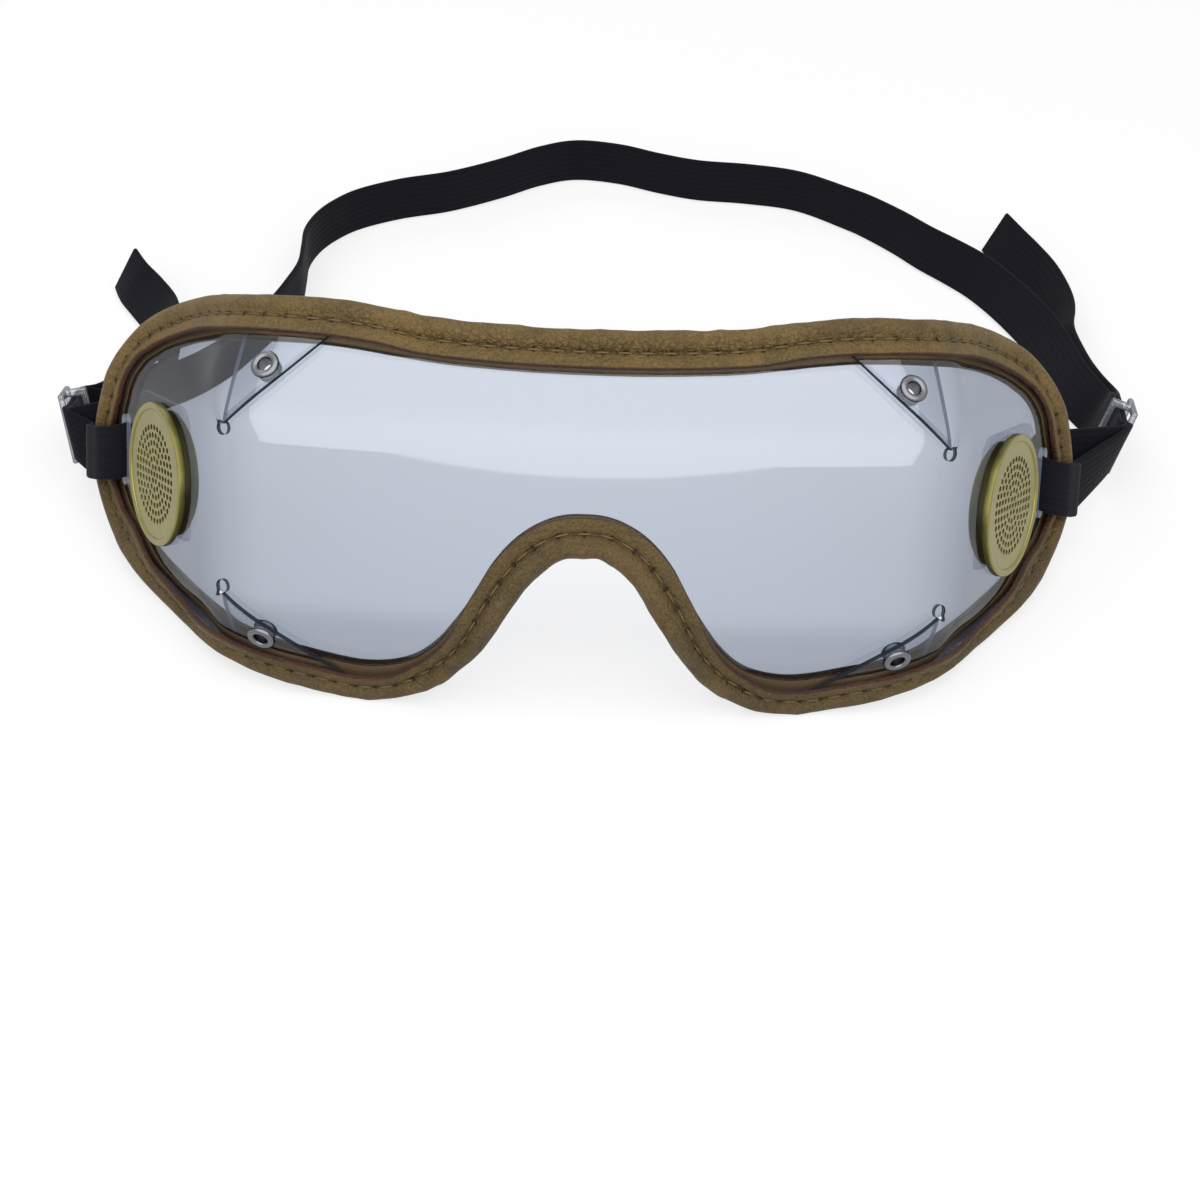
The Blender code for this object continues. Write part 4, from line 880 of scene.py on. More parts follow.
class LeatherSettings(bpy.types.PropertyGroup):
    dark_colour: colour_setting("Dark colour", "Darker patches of the leather", "#4a3c1e")
    light_colour: colour_setting("Light colour", "Lighter patches of the leather", "#705a31")
    # Painted shade: the colour that creases, sunken gathers and stitch holes are darkened to.
    crease_shade_colour: colour_setting("Crease colour", "Colour down in the creases", "#20180b")
    edge_colour: colour_setting("Edge colour", "Raw cut edge of the leather", "#3c2018")
    flesh_colour: colour_setting("Flesh colour", "Undyed inner side of the leather", "#c4a276")
    # Painted shade: the whole lower binding is darker, for the shade it lies in under top light.
    lower_shade: share_setting("Lower strip", "Lightness of the lower strip beside the upper one",
                               0.67, 2.0)
    grain: length_setting("Grain", "Width of a pebble of the grain", 0.0009, 0.0002, 0.004)
    crack: length_setting("Crease spacing", "Width of a plate of leather between creases",
                          0.0011, 0.0002, 0.01)
    wrinkle: length_setting("Wrinkle height", "Height of the gathers of the roll",
                            0.00022, 0.0, 0.001)
    pucker: length_setting("Pucker height", "Height of the swell between two stitch holes",
                           0.00011, 0.0, 0.001)
    stitch_pitch: length_setting("Stitch pitch", "Distance between stitch holes",
                                 0.0036, 0.001, 0.01)
    stitch_length: length_setting("Stitch length", "Length of thread that shows",
                                  0.0025, 0.0005, 0.01)
    thread_radius: length_setting("Thread radius", "Half the width of the thread",
                                  0.00021, 0.00005, 0.001)
    # Painted shade and painted highlight of the thread's twist.
    thread_shaded_colour: colour_setting("Thread dark", "Shaded side of the twist", "#3a2e17")
    thread_lit_colour: colour_setting("Thread light", "Lit side of the twist", "#6c5733")


class MetalSettings(bpy.types.PropertyGroup):
    brass_dark: colour_setting("Brass dark", "Aged patches of the lacquer", "#6f6a34")
    brass_light: colour_setting("Brass light", "Clean patches of the lacquer", "#958d4e")
    # Painted shade: darker brass on the steep side of the rolled rim.
    rim_shade_colour: colour_setting("Rim shade", "Brass on the side of the rolled rim", "#4d4a26")
    nickel_colour: colour_setting("Nickel colour", "Colour of the plated eyelets", "#6e6f73")
    hole_radius: length_setting("Hole radius", "Radius of a perforation", 0.00049, 0.0001, 0.001)
    hole_pitch: length_setting("Hole pitch", "Distance between rings of perforations",
                               0.00133, 0.0005, 0.005)
    hole_rings: bpy.props.IntProperty(
        name="Hole rings", description="Rings of perforations round the middle one",
        min=1, max=8, default=6)


class ElasticSettings(bpy.types.PropertyGroup):
    # Painted shade: the colour between the ribs.
    elastic_groove_shade: colour_setting("Elastic dark", "Colour between the ribs", "#03030a")
    elastic_light: colour_setting("Elastic light", "Colour on the ribs", "#090914")
    rib_pitch: length_setting("Rib pitch", "Distance between the rubber threads",
                              0.0012, 0.0003, 0.004)
    pick_pitch: length_setting("Pick pitch", "Distance between the crossings of the braid",
                               0.0009, 0.0003, 0.004)


class StageSettings(bpy.types.PropertyGroup):
    floor_colour: colour_setting("Floor colour", "Colour of the paper", "#f4f4f4")
    floor_lift: share_setting("Floor lift", "Share of the paper that is seen as plain white", 0.7)
    key_power: power_setting("Main light", "Power of the big softbox over the front, in watts",
                             16.5, 100.0)
    back_power: power_setting("Back light", "Power of the small softbox behind, in watts",
                              1.5, 100.0)
    world_strength: power_setting("Room light", "Strength of the room on the object", 0.22, 4.0)


# Lens sheet

# Finishes of its faces, in the order of its materials
SKIN, SHEARED, BRIGHT, FILM, FLESH = range(5)


def relief_centre(side, half):
    """Middle of the relief hole of a corner."""
    return Vector((side * FOLD_MIDDLE, half * RELIEF_HEIGHT))


def eyelet_place(side, half):
    """Middle of an eyelet, a share of the way from the relief hole to the rim."""
    share, angle = EYELET_SHARES[half > 0], EYELET_ANGLES[half > 0]
    here = relief_centre(side, half)
    span = (RIM_PATH[crossing(angle, side, half)] - here).length
    return here + share * span * Vector((side * math.cos(angle), half * math.sin(angle)))


def relief_edge(side, half, angle, away):
    """Relief hole's edge from the seam line to a flap's edge, by the side named away."""
    start = -math.pi / 2
    sweep = (angle - start) if away > 0 else (angle - 2 * math.pi - start)
    return [Vector((p.x * side, p.y * half)) for p in ring_points(
        relief_centre(1, 1), RELIEF_RADIUS, RELIEF_FACETS, start, sweep)]


def eyelet_hole(side, half):
    """Bore of an eyelet through the sheet."""
    return ring_points(eyelet_place(side, half), EYELET_BARREL_RADIUS + CLEARANCE,
                       EYELET_BORE_FACETS)


def front_piece():
    """Outline and holes of the front panel with its four tucked flaps."""
    outline = []
    corners = []
    for side in (1, -1):
        start, end = (side, side), (side, -side)
        outline += relief_edge(*start, TUCK_ANGLE, -1)[::-1] + relief_edge(*end, TUCK_ANGLE, -1)
        outline += rim_between(crossing(TUCK_ANGLE, *end), crossing(TUCK_ANGLE, -side, -side))
        corners += [start, end]
    return outline, [eyelet_hole(*corner) for corner in corners]


def side_piece(side):
    """Outline and holes of a side panel with its two outer flaps."""
    (start, first), (end, last) = (
        (crossing(slit_angle(half), side, half), relief_edge(side, half, slit_angle(half), 1))
        for half in (side, -side))
    vent = ring_points(Vector((side * VENT_PLACE, VENT_RAISE)),
                       VENT_BARREL_RADIUS + CLEARANCE, BORE_FACETS)
    return (rim_between(start, end) + last[::-1] + first,
            [vent, slot_points(side)] + [eyelet_hole(side, half) for half in (1, -1)])


def finer(loop, pitch):
    """A closed loop with its long edges divided."""
    points = []
    for here, there in zip(loop, loop[1:] + loop[:1]):
        steps = max(math.ceil((there - here).length / pitch - 0.01), 1)
        points += [here + (there - here) * (k / steps) for k in range(steps)]
    return points


def covered(places, loop):
    """Which rows of an array of places lie inside a closed loop."""
    hit = np.zeros(len(places), dtype=bool)
    for i, b in enumerate(loop):
        a = loop[i - 1]
        if a.y != b.y:
            spans = (a.y > places[:, 1]) != (b.y > places[:, 1])
            hit ^= spans & (places[:, 0] < (b.x - a.x) * (places[:, 1] - a.y) / (b.y - a.y) + a.x)
    return hit


def on_piece(places, loops):
    """Which rows of an array of places lie inside the first loop and in no hole."""
    hit = covered(places, loops[0])
    for loop in loops[1:]:
        hit &= ~covered(places, loop)
    return hit


def cement_line():
    """Closed line on the sheet as far in from the rim as the leather is cemented."""
    line = []
    for i in range(0, len(RIM_PATH), CEMENT_STEP):
        ahead = RIM_PATH[(i + CEMENT_STEP) % len(RIM_PATH)] - RIM_PATH[i - CEMENT_STEP]
        station = Station(RIM_PATH[i], ahead, 0.0)
        line.append(station.here + station.step * station.share * BINDING_LIP * CEMENT_SHARE)
    return line


def film_line(side, half, pitch):
    """Points along the film's edge under an outer flap, between the flap and the rim."""
    angle = slit_angle(half)
    centre = relief_centre(side, half)
    along = Vector((side * math.cos(angle), half * math.sin(angle)))
    inward = Vector((side * math.sin(angle), -half * math.cos(angle))) * FILM_INSET
    near = FILM_INSET / math.tan(angle - TUCK_ANGLE) + pitch / 2
    far = (RIM_PATH[crossing(angle, side, half)] - centre).length - 2 * pitch
    return even_points([centre + inward + along * reach for reach in (near, far)], pitch)


def triangulated(outline, holes, pitch, lines):
    """Even triangles of a piece of sheet, split along lines, as points and triples."""
    loops = [finer(loop, pitch) for loop in [outline] + holes]
    points = []
    edges = []
    for chain, closed in [(loop, 1) for loop in loops] + [(line, 0) for line in lines]:
        first, size = len(points), len(chain)
        points += chain
        edges += [(first + i, first + (i + 1) % size) for i in range(size - 1 + closed)]
    border = kdtree.KDTree(len(points))
    for i, point in enumerate(points):
        border.insert((point.x, point.y, 0.0), i)
    border.balance()
    columns = int(HALF_SPAN / pitch) + 1
    rows = int(BROW_HEIGHT / pitch) + 1
    grid = np.array([(i * pitch, j * pitch) for j in range(-rows, rows + 1)
                     for i in range(-columns, columns + 1)])
    points += [Vector(spot) for spot in grid[on_piece(grid, loops)]
               if border.find((*spot, 0.0))[2] > pitch * BORDER_SHARE]
    placed, _, faces, _, _, _ = delaunay_2d_cdt(points, edges, [], 0, WELD)
    middles = np.array([sum((placed[i] for i in face), Vector((0.0, 0.0))) / len(face)
                        for face in faces])
    triangles = []
    for face, good in zip(faces, on_piece(middles, loops)):
        if good:
            a, b, c = (placed[i] for i in face)
            triangles.append(tuple(face) if (b - a).cross(c - a) > 0 else tuple(reversed(face)))
    return placed, triangles


def sheet_layer():
    """Places of the sheet as u, z and lift, its triangles, and the piece of each: 0 for the
    front, 1 and -1 for the sides."""
    places = []
    faces = []
    owners = []
    shared = {}
    cement = finer(cement_line(), SHEET_PITCH)
    films = [film_line(side, half, SHEET_PITCH) for side, half in product((1, -1), repeat=2)]
    for piece in (0, 1, -1):
        outline, holes = side_piece(piece) if piece else front_piece()
        lines = [cement + cement[:1]] + ([] if piece else films)
        points, triangles = triangulated(outline, holes, SHEET_PITCH, lines)
        index = {}
        for number in sorted({i for triangle in triangles for i in triangle}):
            u, z = points[number]
            on_seam = abs(abs(u) - FOLD_MIDDLE) < WELD and abs(z) < RELIEF_HEIGHT
            key = (round(u / WELD), round(z / WELD))
            if on_seam and key in shared:
                index[number] = shared[key]
                continue
            index[number] = len(places)
            places.append((u, z, flap_lift(u, z) if piece else 0.0))
            if on_seam:
                shared[key] = index[number]
        faces += [tuple(index[i] for i in triangle) for triangle in triangles]
        owners += [piece] * len(triangles)
    return places, faces, owners


def skins(places, thickness):
    """Points on the front of a layer of the sheet, and then on its back."""
    return [STAND @ off_sheet(u, z, lift + out) for out in (thickness / 2, -thickness / 2)
            for u, z, lift in places]


def wall_finish(u, z, owner):
    """Finish of an edge wall: sheared in slits and relief holes, and bright elsewhere."""
    across, above = from_relief(u, z)
    in_hole = math.hypot(across, above) < RELIEF_RADIUS * HOLE_SHARE
    on_slit = owner and above > 0 and abs(past_slit(u, z)) < RELIEF_RADIUS * SLIT_SHARE
    return SHEARED if in_hole or on_slit else BRIGHT


def lens_mesh():
    """Two skins and an edge wall over the front and side pieces, one closed body, with a
    web in each relief hole; also the finish of each face."""
    places, faces, owners = sheet_layer()
    vertices = skins(places, LENS_THICKNESS)
    count = len(places)
    middles = np.array([[sum(places[i][axis] for i in face) / 3 for axis in (0, 1)]
                        for face in faces])
    finishes = [FILM if owner == 0 and in_flap(u, z, -FILM_INSET) else SKIN
                for owner, (u, z) in zip(owners, middles)]
    finishes += [kind if clear else FLESH
                 for kind, clear in zip(finishes, covered(middles, cement_line()))]
    solid = faces + [tuple(i + count for i in reversed(face)) for face in faces]
    walls = {(face[i - 1], face[i]): owner for face, owner in zip(faces, owners)
             for i in range(3)}
    for (a, b), owner in walls.items():
        if (b, a) not in walls:
            solid.append((a, a + count, b + count, b))
            u, z = ((places[a][axis] + places[b][axis]) / 2 for axis in (0, 1))
            finishes.append(wall_finish(u, z, owner))
    for corner in product((-1, 1), repeat=2):
        ring = ring_points(relief_centre(*corner), RELIEF_RADIUS - WEB_THICKNESS, WEB_FACETS)
        front, size = len(vertices), len(ring)
        back = front + size
        vertices += skins([(p.x, p.y, 0.0) for p in ring], WEB_THICKNESS)
        solid += [tuple(range(front, back)), tuple(range(back + size - 1, back - 1, -1))]
        solid += [(front + i, back + i, back + (i + 1) % size, front + (i + 1) % size)
                  for i in range(size)]
        finishes += [SKIN, SKIN] + [BRIGHT] * size
    return mesh_from("lens_sheet", vertices, solid), finishes


# Leather rolls and their foam cores

FOAM_INNER = LENS_THICKNESS / 2 + BINDING_EASE
FOAM_OUTER = FOAM_INNER + FOAM_THICKNESS
LEATHER_INNER = FOAM_OUTER + CLEARANCE
LEATHER_OUTER = LEATHER_INNER + LEATHER_THICKNESS
LIP_OUTER = FOAM_INNER + LEATHER_THICKNESS
FOAM_REACH = BINDING_EASE + FOAM_EDGE
BEAD_INNER = FOAM_REACH + CLEARANCE
BEAD_REACH = BEAD_INNER + LEATHER_THICKNESS
CREST = STITCH_INSET * 0.12
SHOULDER = STITCH_INSET * 0.65
SHOULDER_SHARE = 0.80

# How dark the leather is from its cut end up round the lip's corner, over how many points
# of the section its relief fades in there, and the sunk relief that gets the full painted shade
CUT_SHARES = (1.0, 1.0, 0.85, 0.5, 0.2, 0.0)
LIP_POINTS = 6
HOLLOW_DEPTH = 0.00022

# Where the gathers of the brow and of the nose are deepest, and how far they reach
GATHER_MIDDLE = 0.004
GATHER_REACH = 0.052

# Gathers: their size along the roll, across it and through it, and how they fade
GATHER_SIZES = (0.0055, 0.0045, 0.006)
GATHER_START = 0.0009
CREASE_REACH = 0.0024
NOISE_SHIFT = Vector((9.0, 4.0, 2.0))

# How far the stitches pull, at their row, up the roll from it and over the lip
ROW_REACH = 0.00055
ROLL_PULL = 0.0016
LIP_PULL = 0.0012


class Station:
    """One cut across a binding: place on the rim, inward step and distance along it."""

    def __init__(self, here, ahead, length):
        along, rising = sheet_tangents(here.x, here.y)
        run = ahead.x * along + ahead.y * rising
        out = along.cross(rising).normalized()
        inward = run.cross(out).normalized()
        uu, uz, zz = along.dot(along), along.dot(rising), rising.dot(rising)
        pu, pz = inward.dot(along), inward.dot(rising)
        scale = uu * zz - uz * uz
        self.here = here
        self.length = length
        self.step = Vector(((pu * zz - pz * uz) / scale, (pz * uu - pu * uz) / scale))
        self.share = lip_share(here)
        self.lift = 0.0

    def point(self, inset, height):
        """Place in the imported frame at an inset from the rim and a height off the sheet."""
        place = self.here + self.step * inset * (self.share if inset > 0 else 1.0)
        rise = self.lift * rise_share(inset, height)
        spot = STAND @ off_sheet(place.x, place.y, height + rise)
        spot.z = max(spot.z, 0.0)
        return spot


def lip_share(place):
    """Share of the lip's reach, less beside the slots and under the lower corners."""
    away = abs(abs(place.x) - NARROW_MIDDLE) / NARROW_REACH
    corner = 1.0 - away ** 4 if place.y < 0 and away < 1.0 else 0.0
    slot = (abs(place.x) - HALF_SPAN + SLOT_NARROW_START) / SLOT_NARROW_BLEND
    return 1.0 - (1.0 - NARROW_LIP_SHARE) * max(corner, min(max(slot, 0.0), 1.0))


def rise_share(inset, height):
    """Share of the flap's lift that the binding follows at a place of its section."""
    if height <= 0.0:
        return 0.0
    over_lip = smooth_step((inset - SHOULDER) / (STITCH_INSET - SHOULDER))
    share = RIDGE_LIFT_SHARE + (1.0 - RIDGE_LIFT_SHARE) * over_lip
    return share * smooth_step(height / FOAM_INNER)


def rim_stations(fine):
    """Stations along an open stretch of rim, with the lift that the flaps give them."""
    path = even_points(fine, ROLL_PITCH)
    stations = []
    length = 0.0
    for i, here in enumerate(path):
        before, after = beside(path, i, 2)
        if i:
            length += (on_sheet(*here) - on_sheet(*path[i - 1])).length
        stations.append(Station(here, after - before, length))
    lifts = np.zeros(len(path))
    for i, station in enumerate(stations):
        for inset in (0.0, STITCH_INSET, BINDING_LIP):
            place = station.here + station.step * inset
            if in_flap(*place, BINDING_LIP / 2):
                lifts[i] = max(lifts[i], flap_lift(*place))
    reach = int(BINDING_LIP / ROLL_PITCH)
    spread = [lifts[max(i - reach, 0):i + reach + 1].max() for i in range(len(path))]
    half = reach // 2
    for i, station in enumerate(stations):
        station.lift = float(np.mean(spread[max(i - half, 0):i + half + 1]))
    return stations


def binding_paths():
    """Rim points of the upper and the lower binding, open at the butt seams."""
    right, left = seam_index(1), seam_index(-1)
    paths = []
    for start, end in ((left, right), (right, left)):
        fine = rim_between(start, end)
        first, last = ((b - a).normalized() * SEAM_GAP / 2 for a, b in (fine[:2], fine[-2:]))
        paths.append([fine[0] + first] + fine[1:-1] + [fine[-1] - last])
    return paths


def both_halves(front):
    """A section from the front lip over the bead to the rear lip, from its front half."""
    return front + [(inset, -height) for inset, height in front[-2::-1]]


def roll_section():
    """Outer skin of the folded leather."""
    corner = LEATHER_THICKNESS * 0.25
    section = both_halves([
        (BINDING_LIP, FOAM_INNER + corner),
        (BINDING_LIP - corner * 0.3, LIP_OUTER - corner * 0.3),
        (BINDING_LIP - corner * 1.6, LIP_OUTER),
        (STITCH_INSET * 1.45, LIP_OUTER),
        (STITCH_INSET, LIP_OUTER - STITCH_GROOVE),
        (SHOULDER, LEATHER_OUTER * SHOULDER_SHARE),
        (CREST, LEATHER_OUTER),
        (-BEAD_REACH * 0.66, LEATHER_OUTER * SHOULDER_SHARE),
        (-BEAD_REACH, 0.0),
    ])
    return catmull([Vector(spot) for spot in section], False, 4)


def inner_section():
    """Inner skin of the folded leather, round the foam core."""
    return both_halves([
        (BINDING_LIP, FOAM_INNER), (BINDING_LIP * 0.95, FOAM_INNER),
        (STITCH_INSET * 0.95, FOAM_INNER), (CREST, LEATHER_INNER),
        (-BEAD_INNER * 0.62, LEATHER_INNER * SHOULDER_SHARE), (-BEAD_INNER, 0.0)])


def gather_share(here):
    """How strongly the leather is gathered at a place on the rim."""
    return 0.12 + 0.88 * math.exp(-((here.x - GATHER_MIDDLE) / GATHER_REACH) ** 2)


def roll_relief(station, spot, pitch, settings):
    """Height of the puckers and gathers at a place of the outer skin."""
    phase = 2 * math.pi * station.length / pitch
    from_row = spot.x - STITCH_INSET
    at_row = math.exp(-(from_row / ROW_REACH) ** 2)
    gather = gather_share(station.here)
    swell = -math.cos(phase) * settings.pucker * (1.0 - at_row) * gather
    pit = max(math.cos(phase), 0.0) ** 6
    relief = -settings.pucker * at_row * (0.5 + 1.3 * pit)
    run, inset, height = GATHER_SIZES
    seed = Vector((station.length / run, spot.x / inset, spot.y / height))
    if from_row >= 0:
        relief += swell * 0.35 * math.exp(-from_row / LIP_PULL)
        return relief + settings.pucker * 0.5 * noise.noise(seed * 1.3)
    uneven = 0.75 + 0.5 * noise.noise(seed * 0.7 + NOISE_SHIFT)
    relief += swell * uneven * math.exp(from_row / ROLL_PULL)
    ridge = 0.55 - 2.2 * abs(noise.noise(seed)) + 0.5 * noise.noise(seed * 2.3)
    roll = smooth_step(-from_row / GATHER_START) * (1.0 if spot.y > 0 else 0.7)
    return relief + settings.wrinkle * ridge * roll * gather


def roll_mesh(name, stations, pitch, settings):
    """Leather roll with puckered outer skin, one closed body."""
    outer = roll_section()
    inner = inner_section()
    middle = Vector((BINDING_LIP / 2, 0.0))
    vertices = []
    values = {key: [] for key in ("hollow_shade", "cut_edge", "flesh", "gather", "row_run", "row_off")}

    def note(*numbers):
        for row, number in zip(values.values(), numbers):
            row.append(number)

    for station in stations:
        gather = gather_share(station.here) if station.here.y > 0 else 0.25
        for k, spot in enumerate(outer):
            before, after = beside(outer, k)
            run = (after - before).normalized()
            away = Vector((run.y, -run.x))
            away = -away if away.dot(spot - middle) < 0 else away
            lip = min(k, len(outer) - 1 - k)
            relief = roll_relief(station, spot, pitch, settings) * min(lip / LIP_POINTS, 1.0)
            vertices.append(station.point(*(spot + away * relief)))
            from_row = spot.x - STITCH_INSET
            # Painted shade: the deeper the relief sinks here, the darker the leather is painted.
            note(min(max(-relief / HOLLOW_DEPTH - 0.15, 0.0), 1.0) * 0.5,
                 CUT_SHARES[min(lip, len(CUT_SHARES) - 1)], 0.0,
                 gather * (math.exp(from_row / CREASE_REACH) if from_row < 0 else 0.25),
                 station.length / pitch, from_row)
        for inset, height in reversed(inner):
            vertices.append(station.point(inset, height))
            at_end = float(inset == BINDING_LIP)
            note(0.0, at_end, 1.0 - at_end, 0.0, station.length / pitch, BINDING_LIP)
    return tube(name, vertices, len(outer) + len(inner), values)


def foam_mesh(name, stations):
    """U-shaped foam core, one closed body."""
    leg = STITCH_INSET * 0.60
    section = both_halves([
        (leg, FOAM_INNER), (leg * 0.75, FOAM_INNER + FOAM_THICKNESS * 0.6), (CREST, FOAM_OUTER),
        (-FOAM_REACH * 0.65, FOAM_OUTER * 0.72), (-FOAM_REACH, 0.0)])
    section += [(-BINDING_EASE, -FOAM_INNER), (-BINDING_EASE, FOAM_INNER)]
    picked = stations[:-1:3] + stations[-1:]
    return tube(name, [station.point(*spot) for station in picked for spot in section],
                len(section))


def stitch_rows(name, stations, pitch):
    """Front and rear lines for the thread to follow, with the way out at each point."""
    end = stations[-1].length
    kept = [s for s in stations if pitch / 2 <= s.length <= end - pitch / 2]
    low, high = ([station.point(STITCH_INSET, sign * (LIP_OUTER + lift))
                  for sign in (1, -1) for station in kept]
                 for lift in (-STITCH_GROOVE * 1.5, STITCH_GROOVE))
    edges = [(i, i + 1) for i in range(len(low) - 1) if i != len(kept) - 1]
    mesh = bpy.data.meshes.new(name)
    mesh.from_pydata([tuple(v) for v in low], edges, [])
    outward = [part for a, b in zip(low, high) for part in (b - a).normalized()]
    mesh.attributes.new("outward", "FLOAT_VECTOR", "POINT").data.foreach_set("vector", outward)
    return mesh


def new_tree(name, sockets):
    """An empty geometry tree with a geometry in and out and named inputs."""
    tree = bpy.data.node_groups.new(name, "GeometryNodeTree")
    for way in ("INPUT", "OUTPUT"):
        tree.interface.new_socket("Geometry", in_out=way, socket_type="NodeSocketGeometry")
    for label, kind, value in sockets:
        socket = tree.interface.new_socket(label, in_out="INPUT", socket_type=kind)
        socket.default_value = value
    return tree, add_node(tree, "NodeGroupInput").outputs, add_node(tree, "NodeGroupOutput")


def close_tree(tree, output, result, material):
    """Ends a tree in Realize Instances and Set Material."""
    whole = add_node(tree, "GeometryNodeRealizeInstances", {0: result})
    smooth = add_node(tree, "GeometryNodeSetShadeSmooth", {"Geometry": whole.outputs[0]})
    dressed = add_node(tree, "GeometryNodeSetMaterial", {
        "Geometry": smooth.outputs[0], "Material": material})
    tree.links.new(dressed.outputs[0], output.inputs[0])
    return tree


def run_tree(piece, tree, values):
    """Puts a tree on a piece with its named inputs, and makes the result a plain mesh."""
    modifier = piece.modifiers.new(tree.name, "NODES")
    modifier.node_group = tree
    for item in tree.interface.items_tree:
        if item.in_out == "INPUT" and item.name in values:
            modifier[item.identifier] = values[item.name]
    return plain(piece)


def stitching_tree(material):
    """Lays thread along a row at an even pitch, its flat side out of the leather."""
    tree, given, output = new_tree("stitching", (
        ("Pitch", "NodeSocketFloat", 0.0036), ("Length", "NodeSocketFloat", 0.0027),
        ("Thread radius", "NodeSocketFloat", 0.00024)))
    curve = add_node(tree, "GeometryNodeMeshToCurve", {"Mesh": given["Geometry"]})
    even = add_node(tree, "GeometryNodeResampleCurve", {
        "Curve": curve.outputs[0], "Length": given["Pitch"]}, mode="LENGTH")
    tangent = add_node(tree, "GeometryNodeInputTangent")
    outward = add_node(tree, "GeometryNodeInputNamedAttribute", {"Name": "outward"},
                       data_type="FLOAT_VECTOR")
    turn = add_node(tree, "FunctionNodeAxesToRotation", {
        "Primary Axis": outward.outputs["Attribute"], "Secondary Axis": tangent.outputs[0]},
        primary_axis="Z", secondary_axis="X")
    bead = add_node(tree, "GeometryNodeMeshUVSphere", {
        "Segments": 8, "Rings": 8, "Radius": 1.0})
    size = add_node(tree, "ShaderNodeCombineXYZ", {
        "X": value_of(tree, "MULTIPLY", given["Length"], 0.5),
        "Y": given["Thread radius"], "Z": given["Thread radius"]})
    thread = add_node(tree, "GeometryNodeTransform", {
        "Geometry": bead.outputs["Mesh"], "Scale": size.outputs[0]})
    laid = add_node(tree, "GeometryNodeInstanceOnPoints", {
        "Points": even.outputs[0], "Instance": thread.outputs[0],
        "Rotation": turn.outputs[0]})
    return close_tree(tree, output, laid.outputs[0], material)


# Vents and eyelets

SEAT = LENS_THICKNESS / 2 + CLEARANCE
DISC_TOP = SEAT + VENT_DISC_LIFT
DISC_LOW = DISC_TOP - VENT_SHEET


def arc_steps(start, end, facets):
    """Cosines and sines of the angles from start to end, in equal steps."""
    angles = [start + (end - start) * i / facets for i in range(facets + 1)]
    return [(math.cos(angle), math.sin(angle)) for angle in angles]


def cap_mesh():
    """Unpierced brass cap: rolled rim, sunk disc and the barrel through the lens."""
    bearing = LENS_THICKNESS / 2 + BEARING
    crest = SEAT + VENT_RIM_HEIGHT
    rim = VENT_RIM_WIDTH / 2
    bore = VENT_BARREL_RADIUS - VENT_BARREL_WALL
    tail = -(SEAT + PATCH_THICKNESS + RING_THICKNESS + 2 * CLEARANCE)
    turned_out = VENT_BARREL_RADIUS + VENT_BARREL_WALL
    mesh = turned("vent_cap", [
        (0.0, DISC_TOP), (VENT_RADIUS - VENT_RIM_WIDTH * 1.15, DISC_TOP),
        *((VENT_RADIUS - rim + rim * cosine, DISC_TOP + (crest - DISC_TOP) * sine)
          for cosine, sine in arc_steps(math.pi, 0.0, 8)),
        (VENT_RADIUS, bearing), (VENT_BARREL_RADIUS, bearing), (VENT_BARREL_RADIUS, tail),
        (turned_out, tail), (turned_out, tail - VENT_BARREL_WALL),
        (bore, tail - VENT_BARREL_WALL), (bore, DISC_LOW), (0.0, DISC_LOW),
    ], VENT_FACETS)
    shape = bmesh.new()
    shape.from_mesh(mesh)
    for level in (DISC_TOP, DISC_LOW):
        disc = [f for f in shape.faces if all(abs(v.co.z - level) < WELD for v in f.verts)]
        bmesh.ops.dissolve_faces(shape, faces=disc)
    return written(shape, mesh)


